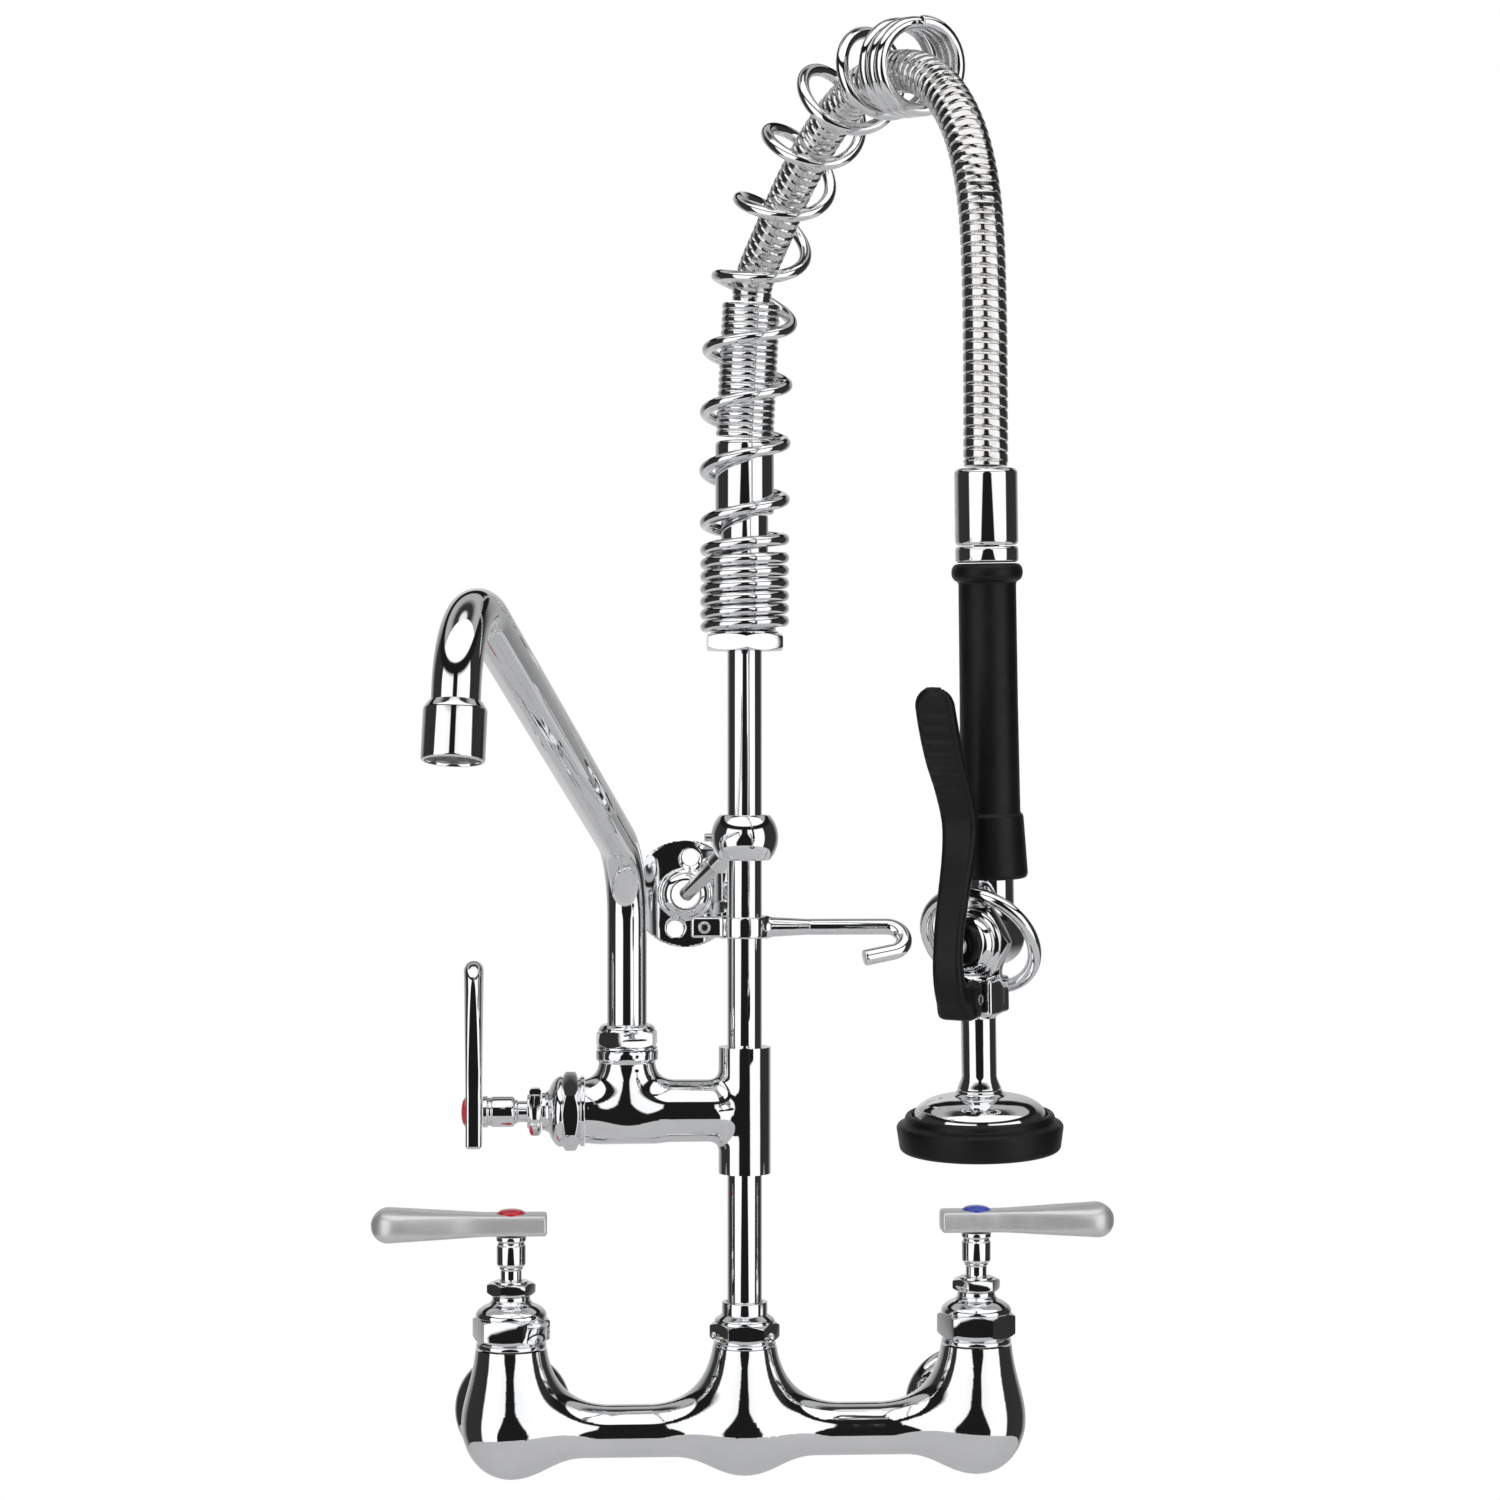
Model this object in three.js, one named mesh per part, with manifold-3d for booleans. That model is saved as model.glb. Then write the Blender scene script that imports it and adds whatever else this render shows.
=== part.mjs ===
// Wall-mounted pre-rinse faucet: two-handle mixing body, riser with an add-on swing faucet,
// wall bracket and finger hook, overhead spring and hose, and a squeeze-lever spray valve.
// Millimetres. +X is right, +Y goes into the wall, +Z is up. The origin is on the wall, midway
// between the two water inlets, at the height of their axes.
import * as THREE from "three";
import { mergeVertices } from "three/addons/utils/BufferGeometryUtils.js";
import Module from "manifold-3d";

const wasm = await Module();
wasm.setup();

// ---------------------------------------------------------------- driving dimensions
const GAP = 0.3; // clearance between neighbouring solids
const INLET_CENTRES = 203.2; // 8 inch valve centres
const WALL_TO_RISER = 50;
const HALF = INLET_CENTRES / 2;

const RISER_R = 7.5;
const RISER_BORE = 5.4;
const BODY_TUBE_R = 11.65;
const BULB_R = 19.8;
const TOWER_TOP = 37;
const TOWER_TOP_R = 15.1;
const CENTRE_TOP = 36.3;
const CENTRE_TOP_R = 13.4;
const NIPPLE_R = 10.65; // half inch pipe
const FLANGE_R = 26;

const ADDON_Z = 139.3; // axis of the add-on faucet's valve
const ADDON_TUBE_R = 14;
const ADDON_END_X = -69.6;
const SLEEVE_Z = [112, 167];
const SPOUT_X = -51.3;
const SPOUT_R = 8.6;
const SPOUT_BORE = 7;
const SPOUT_REACH = 301;
const SPOUT_AZIMUTH = (-102.4 * Math.PI) / 180; // swung toward the user, a little left
const SPOUT_RISE = (20.3 * Math.PI) / 180; // slope of the straight run
const SPOUT_LEAN = (11 * Math.PI) / 180; // outlet's lean from vertical
const SPOUT_BEND_Z = 223;
const SPOUT_BEND_R = 38;
const SPOUT_ARCH_R = 32;
const OUTLET_DROP = 11.5; // straight length from the arch to the aerator

const BALL_Z = 258.3;
const BALL_R = 14.7;
const BRACKET = { x: -24.1, z: 231.4, r: 24.2, thick: 3 };
const ROD_OFF_WALL = 8.2;
const BRACKET_HOLES = [82, 254]; // degrees round the flange
const BRACKET_HOLE_PITCH_R = 16.6;
const HOOK_Z = 219.2;
const HOOK_ROD_R = 3.5;

const SPRING_NUT_Z = [339.7, 347.2];
const SPRING_R = 16.9; // radius of the wire's centreline
const WIRE_R = 2.6;
const CLOSED_PITCH = 5.5;
const HOSE_R = 8.6;

const ARC_AZIMUTH = (-65 * Math.PI) / 180; // plane of the hose arch, from +X toward the user
const SPRAY_REACH = 195.2; // riser axis to spray valve axis
const SPRAY_TOP = 405.6; // top of the hose coupling
const SPRAY_TILT = (3.42 * Math.PI) / 180; // the handle's lean toward the lever
const SPRAY_ROLL = (-0.78 * Math.PI) / 180; // and to the side
const LEVER_AZIMUTH = (-123 * Math.PI) / 180; // side of the spray valve that the lever is on
const VALVE_W = -180.6; // spray valve's axis below the coupling's top
const OUTLET_U = 13; // outlet's offset toward the lever
const PIVOT = { u: 26, w: -201.5 };

// The overhead spring's centreline: distance out from the riser and height, in the arch's plane.
const SPRING_LINE = [
  [0, 345], [0, 375], [0, 405], [0.3, 430], [2.2, 460], [7, 487], [19, 512.5], [39.5, 537], [62, 555.5],
  [87, 566.5], [114, 571], [150, 567.5],
];
// The hose's centreline in the same plane, from the ribbed sleeve's end to the coupling.
const HOSE_LINE = [
  [6.3, 491.4], [7.2, 497], [10.6, 502.6], [15.2, 508], [20.9, 513.4], [28.6, 520.8], [41.7, 533.6],
  [53.5, 543.2], [66, 552], [82.6, 561.2], [99, 566.8], [115.8, 569.2], [132, 568.6], [148.3, 564.5],
  [162, 556.6], [173.4, 545.8], [181.2, 534.6], [187, 521.5], [190.8, 507.5], [192.9, 493], [194, 477],
  [194.7, 458], [195, 438], [195.2, 420], [195.2, 405.9],
];

// ---------------------------------------------------------------- finishes
const chrome = { color: 0xd8dadd, roughness: 0.08, metalness: 1 };
const satin = { color: 0xa9a9ae, roughness: 0.3, metalness: 1 };
const brass = { color: 0xb08d4a, roughness: 0.35, metalness: 1 };
const steel = { color: 0xc4c2be, roughness: 0.22, metalness: 1 };
const rubber = { color: 0x1c1c1d, roughness: 0.7, metalness: 0 };
const blackPlastic = { color: 0x222222, roughness: 0.8, metalness: 0 };
const red = { color: 0xc8102e, roughness: 0.3, metalness: 0 };
const blue = { color: 0x2a3fae, roughness: 0.3, metalness: 0 };

// ---------------------------------------------------------------- solids
// Merges shared vertices, drops collapsed triangles and turns the faces outward.
function closed(geometry) {
  const bare = geometry.clone();
  bare.deleteAttribute("normal");
  bare.deleteAttribute("uv");
  const merged = mergeVertices(bare, 1e-4);
  const index = merged.index.array;
  const p = merged.attributes.position;
  const kept = [];
  let volume = 0;
  const [a, b, c] = [new THREE.Vector3(), new THREE.Vector3(), new THREE.Vector3()];
  for (let i = 0; i < index.length; i += 3) {
    const [i0, i1, i2] = [index[i], index[i + 1], index[i + 2]];
    if (i0 === i1 || i1 === i2 || i0 === i2) continue;
    kept.push([i0, i1, i2]);
    a.fromBufferAttribute(p, i0);
    b.fromBufferAttribute(p, i1);
    c.fromBufferAttribute(p, i2);
    volume += a.dot(b.cross(c));
  }
  const ordered = volume < 0 ? kept.map(([x, y, z]) => [x, z, y]) : kept;
  merged.setIndex(ordered.flat());
  merged.computeVertexNormals();
  return merged;
}

function toManifold(geometry) {
  const g = closed(geometry);
  return new wasm.Manifold(new wasm.Mesh({
    numProp: 3,
    vertProperties: new Float32Array(g.attributes.position.array),
    triVerts: new Uint32Array(g.index.array),
  }));
}

function fromManifold(solid) {
  const mesh = solid.getMesh();
  const g = new THREE.BufferGeometry();
  g.setAttribute("position", new THREE.BufferAttribute(new Float32Array(mesh.vertProperties), 3));
  g.setIndex(Array.from(mesh.triVerts));
  g.computeVertexNormals();
  return g;
}

function carve(added, removed = []) {
  let solid = toManifold(added[0]);
  for (const g of added.slice(1)) solid = solid.add(toManifold(g));
  for (const g of removed) solid = solid.subtract(toManifold(g));
  return fromManifold(solid);
}

// Turned about +Z from [radius, height] points.
function turned(profile, segments = 18) {
  const points = profile.map(([r, z]) => new THREE.Vector2(r, z));
  return closed(new THREE.LatheGeometry(points, segments).rotateX(Math.PI / 2));
}

function ringOf(inner, outer, z0, z1, segments = 18) {
  return turned([[inner, z0], [outer, z0], [outer, z1], [inner, z1], [inner, z0]], segments);
}

function rod(radius, z0, z1, segments = 16) {
  return turned([[0, z0], [radius, z0], [radius, z1], [0, z1]], segments);
}

// Hexagon nut with chamfered corners and a bore, turned by `phase` about its axis.
function hexNut(corner, bore, z0, z1, chamfer, phase = 0) {
  const flat = corner * Math.cos(Math.PI / 6);
  const outside = turned([[0, z0], [corner, z0], [corner, z1], [0, z1]], 6);
  const bevel = turned([
    [0, z0], [flat, z0], [corner, z0 + chamfer], [corner, z1 - chamfer], [flat, z1], [0, z1],
  ], 12);
  const solid = toManifold(outside.rotateZ(phase)).intersect(toManifold(bevel));
  return fromManifold(solid.subtract(toManifold(rod(bore, z0 - 1, z1 + 1, 14))));
}

// A route through points, sampled exactly at them by an extrusion with one step per stretch.
class Route extends THREE.Curve {
  constructor(points) {
    super();
    this.points = points;
  }

  getPoint(t, target = new THREE.Vector3()) {
    const last = this.points.length - 1;
    const i = Math.min(Math.floor(t * last), last - 1);
    return target.copy(this.points[i]).lerp(this.points[i + 1], t * last - i);
  }

  getUtoTmapping(u) {
    return u;
  }
}

function tube(points, radius, sides) {
  const section = new THREE.Shape().absarc(0, 0, radius, 0, Math.PI * 2);
  return closed(new THREE.ExtrudeGeometry(section, {
    steps: points.length - 1, curveSegments: sides, bevelEnabled: false, extrudePath: new Route(points),
  }));
}

// Points of a circular arc in the plane y = 0, between two polar angles.
function arc(t, z, r, from, to, steps) {
  return Array.from({ length: steps + 1 }, (_, i) => {
    const a = from + ((to - from) * i) / steps;
    return new THREE.Vector3(t + r * Math.cos(a), 0, z + r * Math.sin(a));
  });
}

// ---------------------------------------------------------------- the scene graph
const faucet = new THREE.Group();

function add(parent, name, geometry, finish) {
  const mesh = new THREE.Mesh(geometry, new THREE.MeshStandardMaterial(finish));
  mesh.name = name;
  parent.add(mesh);
  return mesh;
}

function groupAt(parent, x, y, z) {
  const group = new THREE.Group();
  group.position.set(x, y, z);
  parent.add(group);
  return group;
}

// Everything on the riser is placed from the riser's axis.
const stand = groupAt(faucet, 0, -WALL_TO_RISER, 0);

// ---------------------------------------------------------------- mixing body
// A web of metal that fills the corner between a tower and the horizontal tube.
function fillet(towerX, side, towerR, top, reach) {
  const foot = towerX + side * reach;
  const shape = new THREE.Shape();
  shape.moveTo(towerX, -4);
  shape.lineTo(foot, -4);
  shape.lineTo(foot, BODY_TUBE_R - 0.6);
  shape.quadraticCurveTo(towerX + side * (towerR + 3.5), BODY_TUBE_R, towerX + side * (towerR - 0.8), top);
  shape.lineTo(towerX, top);
  const web = new THREE.ExtrudeGeometry(shape, { depth: 13, bevelEnabled: false, curveSegments: 6 });
  return web.rotateX(Math.PI / 2).translate(0, 6.5, 0);
}

function towerSolid(x, topR, top) {
  const profile = [[0, -BULB_R]];
  for (const deg of [25, 50, 75, 92]) {
    const a = (deg * Math.PI) / 180;
    profile.push([BULB_R * Math.sin(a), -BULB_R * Math.cos(a)]);
  }
  profile.push([topR + 2.4, 16], [topR, top], [0, top]);
  return turned(profile, 24).translate(x, 0, 0);
}

function buildMixingBody() {
  const along = rod(BODY_TUBE_R, -HALF, HALF, 22).rotateY(Math.PI / 2);
  const added = [along, towerSolid(0, CENTRE_TOP_R, CENTRE_TOP)];
  const removed = [rod(7, -HALF + 4, HALF - 4, 16).rotateY(Math.PI / 2)];
  removed.push(rod(RISER_R + GAP, 14, CENTRE_TOP + 1, 22), rod(RISER_BORE, 0, 15, 16));
  for (const side of [-1, 1]) {
    const x = side * HALF;
    added.push(towerSolid(x, TOWER_TOP_R, TOWER_TOP));
    added.push(fillet(x, -side, TOWER_TOP_R, TOWER_TOP - 3, 34));
    added.push(fillet(0, side, CENTRE_TOP_R, CENTRE_TOP - 5, 31));
    removed.push(rod(10, 4, TOWER_TOP + 1, 16).translate(x, 0, 0));
    removed.push(rod(NIPPLE_R + GAP, 12, 30, 18).rotateX(-Math.PI / 2).translate(x, 0, 0));
    removed.push(rod(6, 0, 13, 14).rotateX(-Math.PI / 2).translate(x, 0, 0));
  }
  return carve(added, removed);
}

add(stand, "mixing_body", buildMixingBody(), chrome);

// Inlet nipple, its coupling nut and the wall flange. Built along +Z, then laid along +Y.
for (const [name, side] of [["left", -1], ["right", 1]]) {
  const inlet = groupAt(stand, side * HALF, 0, 0);
  inlet.rotation.x = -Math.PI / 2;
  add(inlet, `${name}_inlet_nipple`, ringOf(7.5, NIPPLE_R, 12.4, WALL_TO_RISER), brass);
  add(inlet, `${name}_inlet_nut`, hexNut(17.2, NIPPLE_R + GAP, 21.2, 33.5, 1.6), chrome);
  add(inlet, `${name}_wall_flange`, turned([
    [NIPPLE_R + GAP, 50], [NIPPLE_R + GAP, 37], [14.5, 37], [18, 39.5], [22.5, 43], [25.2, 46.2],
    [FLANGE_R, 48.4], [FLANGE_R, 50], [NIPPLE_R + GAP, 50],
  ], 32), chrome);
}

// ---------------------------------------------------------------- valve trim
// Bonnet, packing nut, cartridge, stem, lever and index button of one quarter-turn valve, along +Z
// from the mouth of its housing.
// A lever is the meeting of its outline seen from above and its outline seen from the side.
function leverBlade(length, heel, hubWidth, tipWidth, thick, tipThick) {
  const w0 = hubWidth / 2;
  const w1 = tipWidth / 2;
  const plan = new THREE.Shape();
  plan.moveTo(-heel, -w0);
  plan.lineTo(6, -w0);
  plan.bezierCurveTo(22, -w0 * 0.8, 36, -w1 * 0.75, length - w1 * 1.3, -w1);
  plan.absarc(length - w1, 0, w1, -Math.PI / 2, Math.PI / 2);
  plan.bezierCurveTo(36, w1 * 0.75, 22, w0 * 0.8, 6, w0);
  plan.lineTo(-heel, w0);
  const fromAbove = new THREE.ExtrudeGeometry(plan, { depth: 20, bevelEnabled: false, curveSegments: 6 });

  const [h0, h1] = [thick / 2, tipThick / 2];
  const side = new THREE.Shape();
  side.moveTo(-heel, -h0);
  side.lineTo(12, -h0);
  side.lineTo(length - h1, -h1);
  side.absarc(length - h1, 0, h1, -Math.PI / 2, Math.PI / 2);
  side.lineTo(12, h0);
  side.lineTo(-heel, h0);
  const fromSide = new THREE.ExtrudeGeometry(side, { depth: 30, bevelEnabled: false, curveSegments: 5 });
  return fromManifold(toManifold(fromAbove.translate(0, 0, -10))
    .intersect(toManifold(fromSide.rotateX(Math.PI / 2).translate(0, 15, 0))));
}

function valveTrim(base, names, d) {
  const { bonnet, packing, cartridge, stem, lever, index } = names;
  add(base, bonnet, carve([
    turned([
      [0, GAP], [14.9, GAP], [14.9, 2.6], [0, 2.6],
    ], 20),
    hexNut(d.hexCorner, 3, 2.6, 2.6 + d.hex, 1.6, d.phase),
    turned([
      [0, 2.4 + d.hex], [15.2, 2.4 + d.hex], [14.9, 4.4 + d.hex], [12.6, 7 + d.hex],
      [8.6, 9 + d.hex], [8, 9.6 + d.hex], [8, d.nut0 - GAP], [0, d.nut0 - GAP],
    ], 20),
  ], [rod(6, 0, d.nut0 - 4, 14), rod(4.9, d.nut0 - 5, d.nut0 + 1, 14)]), chrome);
  add(base, packing, hexNut(10.6, 4.9, d.nut0, d.nut1, 1, d.phase), chrome);
  add(base, cartridge, carve([rod(9.6, -32, -0.1, 20)], [rod(3.3, -12, 1, 14), rod(4, -33, -14, 12)]), brass);

  const handle = groupAt(base, 0, 0, 0);
  add(handle, stem, carve([
    turned([
      [0, -11], [3, -11], [3, 0.4], [4.6, 0.6], [4.6, d.hub0], [d.hubR, d.hub0], [d.hubR, d.lever0 - GAP],
      [0, d.lever0 - GAP],
    ], 20),
  ]), chrome);
  const arm = groupAt(handle, 0, 0, d.lever0 + d.thick / 2);
  arm.rotation.z = d.leverTurn;
  const blade = leverBlade(d.length, 15.5, 14, d.tipWidth, d.thick, d.tipThick);
  add(arm, lever, carve([blade], [rod(5.9, d.thick / 2 - 2.4, d.thick, 20)]), satin);
  add(arm, index, turned([
    [0, d.thick / 2 - 2.1], [5.6, d.thick / 2 - 2.1], [5.6, d.thick / 2 + 0.6], [3.6, d.thick / 2 + 1.6],
    [0, d.thick / 2 + 2],
  ], 18), d.button);
}

const sideValve = {
  hexCorner: 17.3, hex: 10.8, nut0: 22.9, nut1: 28.9, hub0: 35.4, hubR: 6.5, lever0: 48.6, thick: 9.6,
  tipThick: 14.4, length: 60.7, tipWidth: 22, phase: -0.21,
};
for (const [name, side, button] of [["hot", -1, red], ["cold", 1, blue]]) {
  const base = groupAt(stand, side * HALF, 0, TOWER_TOP);
  valveTrim(base, {
    bonnet: `${name}_bonnet`, packing: `${name}_packing_nut`, cartridge: `${name}_cartridge`,
    stem: `${name}_stem`, lever: `${name}_lever`, index: `${name}_index`,
  }, { ...sideValve, button, leverTurn: side < 0 ? Math.PI : 0 });
}

// ---------------------------------------------------------------- riser
add(stand, "riser_nut", carve([
  hexNut(15.4, RISER_R + GAP, CENTRE_TOP + GAP, 47.6, 1.6),
  ringOf(RISER_R + GAP, 9.7, 47.2, 56),
]), chrome);
add(stand, "lower_riser", ringOf(RISER_BORE, RISER_R, 15, 138.8), chrome);
add(stand, "upper_riser", ringOf(RISER_BORE, RISER_R, 139.4, 372), chrome);

// ---------------------------------------------------------------- add-on faucet
function buildAddonBody() {
  const neck = turned([[0, 139], [12.5, 139], [12.3, 160], [13.5, 162.3], [13.5, 166.2], [0, 166.2]], 24);
  const saddle = turned([[0, 139], [16.5, 141], [14.2, 150], [12.6, 158], [0, 158]], 24);
  const added = [
    rod(11.05, SLEEVE_Z[0], SLEEVE_Z[1], 24),
    rod(ADDON_TUBE_R, ADDON_END_X, -6, 22).rotateY(Math.PI / 2).translate(0, 0, ADDON_Z),
    neck.translate(SPOUT_X, 0, 0),
    saddle.translate(SPOUT_X, 0, 0),
  ];
  const removed = [
    rod(RISER_R + GAP, SLEEVE_Z[0] - 1, SLEEVE_Z[1] + 1, 22),
    rod(10, ADDON_END_X - 1, ADDON_END_X + 34, 20).rotateY(Math.PI / 2).translate(0, 0, ADDON_Z),
    rod(6, ADDON_END_X + 33, -5, 16).rotateY(Math.PI / 2).translate(0, 0, ADDON_Z),
    rod(SPOUT_R + 0.35, 153, 168, 20).translate(SPOUT_X, 0, 0),
    rod(6.5, 145, 154, 16).translate(SPOUT_X, 0, 0),
  ];
  return carve(added, removed);
}
add(stand, "addon_body", buildAddonBody(), chrome);

const addonValve = groupAt(stand, ADDON_END_X, 0, ADDON_Z);
addonValve.rotation.y = -Math.PI / 2;
valveTrim(addonValve, {
  bonnet: "addon_bonnet", packing: "addon_packing_nut", cartridge: "addon_cartridge",
  stem: "addon_stem", lever: "addon_lever", index: "addon_index",
}, {
  hexCorner: 17.3, hex: 7.2, nut0: 19, nut1: 24.6, hub0: 30.7, hubR: 6.8, lever0: 44.6, thick: 7.4,
  tipThick: 8.4, length: 65.7, tipWidth: 21, phase: 0, button: red, leverTurn: 0,
});

add(stand, "spout_nut", hexNut(14, SPOUT_R + 0.35, 166.5, 177.3, 2.6, 0.35).translate(SPOUT_X, 0, 0), chrome);

// ---------------------------------------------------------------- swing spout
// Centreline of the tube in the vertical plane of the spout: up, a bend, a straight climb, the arch
// and the outlet, which leans outward.
function spoutLine() {
  const quarter = Math.PI / 2;
  const bend = arc(SPOUT_BEND_R, SPOUT_BEND_Z, SPOUT_BEND_R, Math.PI, quarter + SPOUT_RISE, 7);
  const bendEnd = bend.at(-1);
  const outletT = SPOUT_REACH - OUTLET_DROP * Math.sin(SPOUT_LEAN);
  const archT = outletT - SPOUT_ARCH_R * Math.cos(SPOUT_LEAN);
  const climb = archT - SPOUT_ARCH_R * Math.sin(SPOUT_RISE) - bendEnd.x;
  const archZ = bendEnd.z + climb * Math.tan(SPOUT_RISE) - SPOUT_ARCH_R * Math.cos(SPOUT_RISE);
  const arch = arc(archT, archZ, SPOUT_ARCH_R, quarter + SPOUT_RISE, SPOUT_LEAN, 9);
  const tip = arch.at(-1).clone();
  tip.x += OUTLET_DROP * Math.sin(SPOUT_LEAN);
  tip.z -= OUTLET_DROP * Math.cos(SPOUT_LEAN);
  return [new THREE.Vector3(0, 0, 153.5), ...bend, ...arch, tip];
}

// The same line made a little longer at both ends, so that the bore cuts right through.
function extended(points, by) {
  const [first, second] = points;
  const [beforeLast, last] = points.slice(-2);
  const start = first.clone().addScaledVector(first.clone().sub(second).normalize(), by);
  const end = last.clone().addScaledVector(last.clone().sub(beforeLast).normalize(), by);
  return [start, ...points.slice(1, -1), end];
}

const spoutPoints = spoutLine();
const spoutTip = spoutPoints.at(-1);
const spout = groupAt(stand, SPOUT_X, 0, 0);
spout.rotation.z = SPOUT_AZIMUTH;
add(spout, "spout_tube", carve(
  [tube(spoutPoints, SPOUT_R, 9)],
  [tube(extended(spoutPoints, 2), SPOUT_BORE, 6)],
), chrome);

// The aerator screws on at the tip; its axis follows the outlet.
const aerator = groupAt(spout, spoutTip.x, 0, spoutTip.z);
aerator.rotation.y = -SPOUT_LEAN;
add(aerator, "aerator_shell", turned([
  [9, -0.2], [9, 5], [9.6, 5], [11, 2], [11, -15.5], [9.6, -15.5], [9.6, -14.6], [9.8, -14.4],
  [9.8, -0.6], [9, -0.2],
], 24), chrome);
add(aerator, "aerator_screen", rod(9.4, -14, -1, 22), steel);

// ---------------------------------------------------------------- wall bracket
function buildBall() {
  const profile = [[0, -9.6]];
  for (const deg of [-41, -20, 0, 20, 41]) {
    const a = (deg * Math.PI) / 180;
    profile.push([BALL_R * Math.cos(a), BALL_R * Math.sin(a)]);
  }
  profile.push([0, 9.6]);
  return turned(profile, 26);
}

// The rod runs from the ball's centre to a point on the flange's axis, a little off the wall.
const bracketReach = new THREE.Vector3(BRACKET.x, WALL_TO_RISER - ROD_OFF_WALL, BRACKET.z - BALL_Z);
const bracketDir = bracketReach.clone().normalize();
const bracketTurn = new THREE.Quaternion().setFromUnitVectors(new THREE.Vector3(0, 0, 1), bracketDir);
const setScrewBore = rod(2.1, 8, 18, 12).rotateY(-Math.PI / 2);
add(stand, "bracket_ball", carve(
  [buildBall(), rod(5.4, 12, 25, 18).applyQuaternion(bracketTurn)],
  [rod(RISER_R + 0.35, -12, 12, 24), setScrewBore, rod(3.7, 19, 27, 16).applyQuaternion(bracketTurn)],
).translate(0, 0, BALL_Z), chrome);
add(stand, "bracket_set_screw", rod(1.8, 8.4, 17.6, 12).rotateY(-Math.PI / 2).translate(0, 0, BALL_Z), steel);
add(stand, "bracket_rod", rod(3.3, 19.6, bracketReach.length(), 16).applyQuaternion(bracketTurn)
  .translate(0, 0, BALL_Z), chrome);

const bracketFlange = groupAt(stand, BRACKET.x, WALL_TO_RISER, BRACKET.z);
bracketFlange.rotation.x = Math.PI / 2; // local +Z points away from the wall
function buildBracketFlange() {
  const plate = turned([
    [0, 0], [BRACKET.r, 0], [BRACKET.r, 1.6], [BRACKET.r - 1.4, BRACKET.thick], [11.5, BRACKET.thick + 0.8],
    [11.2, 5.4], [0, 5.4],
  ], 32);
  const holes = BRACKET_HOLES.map((deg) => {
    const a = (deg * Math.PI) / 180;
    const cone = turned([[0, -1], [3.8, -1], [3.8, 1], [5.8, 3.4], [5.8, 6], [0, 6]], 16);
    return cone.translate(BRACKET_HOLE_PITCH_R * Math.cos(a), BRACKET_HOLE_PITCH_R * Math.sin(a), 0);
  });
  return carve([plate], holes);
}
add(bracketFlange, "bracket_flange", buildBracketFlange(), chrome);
add(bracketFlange, "bracket_nut", turned([
  [6.3, 5.7], [10.2, 5.7], [10.2, 8.2], [8.6, 9.6], [7.4, 9.9], [6.3, 9.9], [6.3, 5.7],
], 24), chrome);

// ---------------------------------------------------------------- finger hook
const HOOK_LEG = 61.8; // where the U-bend begins
const HOOK_U_R = 7.5;
const BAND_H = 9.3;
function buildHook() {
  const bend = arc(HOOK_LEG, -HOOK_U_R, HOOK_U_R, Math.PI / 2, (-75 * Math.PI) / 180, 9);
  const heading = new THREE.Vector3(-Math.sin((75 * Math.PI) / 180), 0, -Math.cos((75 * Math.PI) / 180));
  const tip = bend.at(-1).clone().addScaledVector(heading, 13);
  const finger = tube([new THREE.Vector3(8.4, 0, 0), ...bend, tip], HOOK_ROD_R, 6);
  const ear = new THREE.BoxGeometry(16, 5.4, BAND_H).translate(-15.4, 0, 0);
  const root = new THREE.BoxGeometry(5, 6, BAND_H - 1.6).translate(10.8, 0, 0);
  return carve(
    [rod(9.4, -BAND_H / 2, BAND_H / 2, 24), finger.rotateX(-Math.PI / 4), ear, root],
    [
      rod(RISER_R + GAP, -6, 6, 22),
      new THREE.BoxGeometry(20, 1.6, 12).translate(-16.5, 0, 0),
      rod(1.9, -6, 6, 12).rotateX(Math.PI / 2).translate(-17.7, 0, 0),
    ],
  );
}
add(stand, "hook", buildHook().translate(0, 0, HOOK_Z), chrome);
add(stand, "hook_screw", turned([
  [0, -4.4], [3, -4.4], [3, -3], [1.6, -3], [1.6, 3], [2.7, 3], [2.7, 4.2], [2, 4.7], [0, 4.8],
], 14).rotateX(Math.PI / 2).translate(-17.7, 0, HOOK_Z), steel);

// ---------------------------------------------------------------- spring, ferrules and hose
add(stand, "spring_nut", carve([
  hexNut(18.8, RISER_R + GAP, SPRING_NUT_Z[0], SPRING_NUT_Z[1], 1.2, Math.PI / 6),
  ringOf(RISER_R + GAP, 13.6, SPRING_NUT_Z[1] - 0.4, 360),
]), chrome);
add(stand, "hose_nipple", turned([
  [RISER_R + GAP, 364], [9.2, 364], [10.3, 366], [10.3, 398.8], [5, 398.8], [5, 372.6],
  [RISER_R + GAP, 372.6], [RISER_R + GAP, 364],
], 22), chrome);
add(stand, "hose_ferrule", turned([
  [5, 399.2], [12.2, 399.2], [12.8, 400], [12.8, 430.2], [12.2, 431], [5, 431], [5, 399.2],
], 24), chrome);

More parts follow.
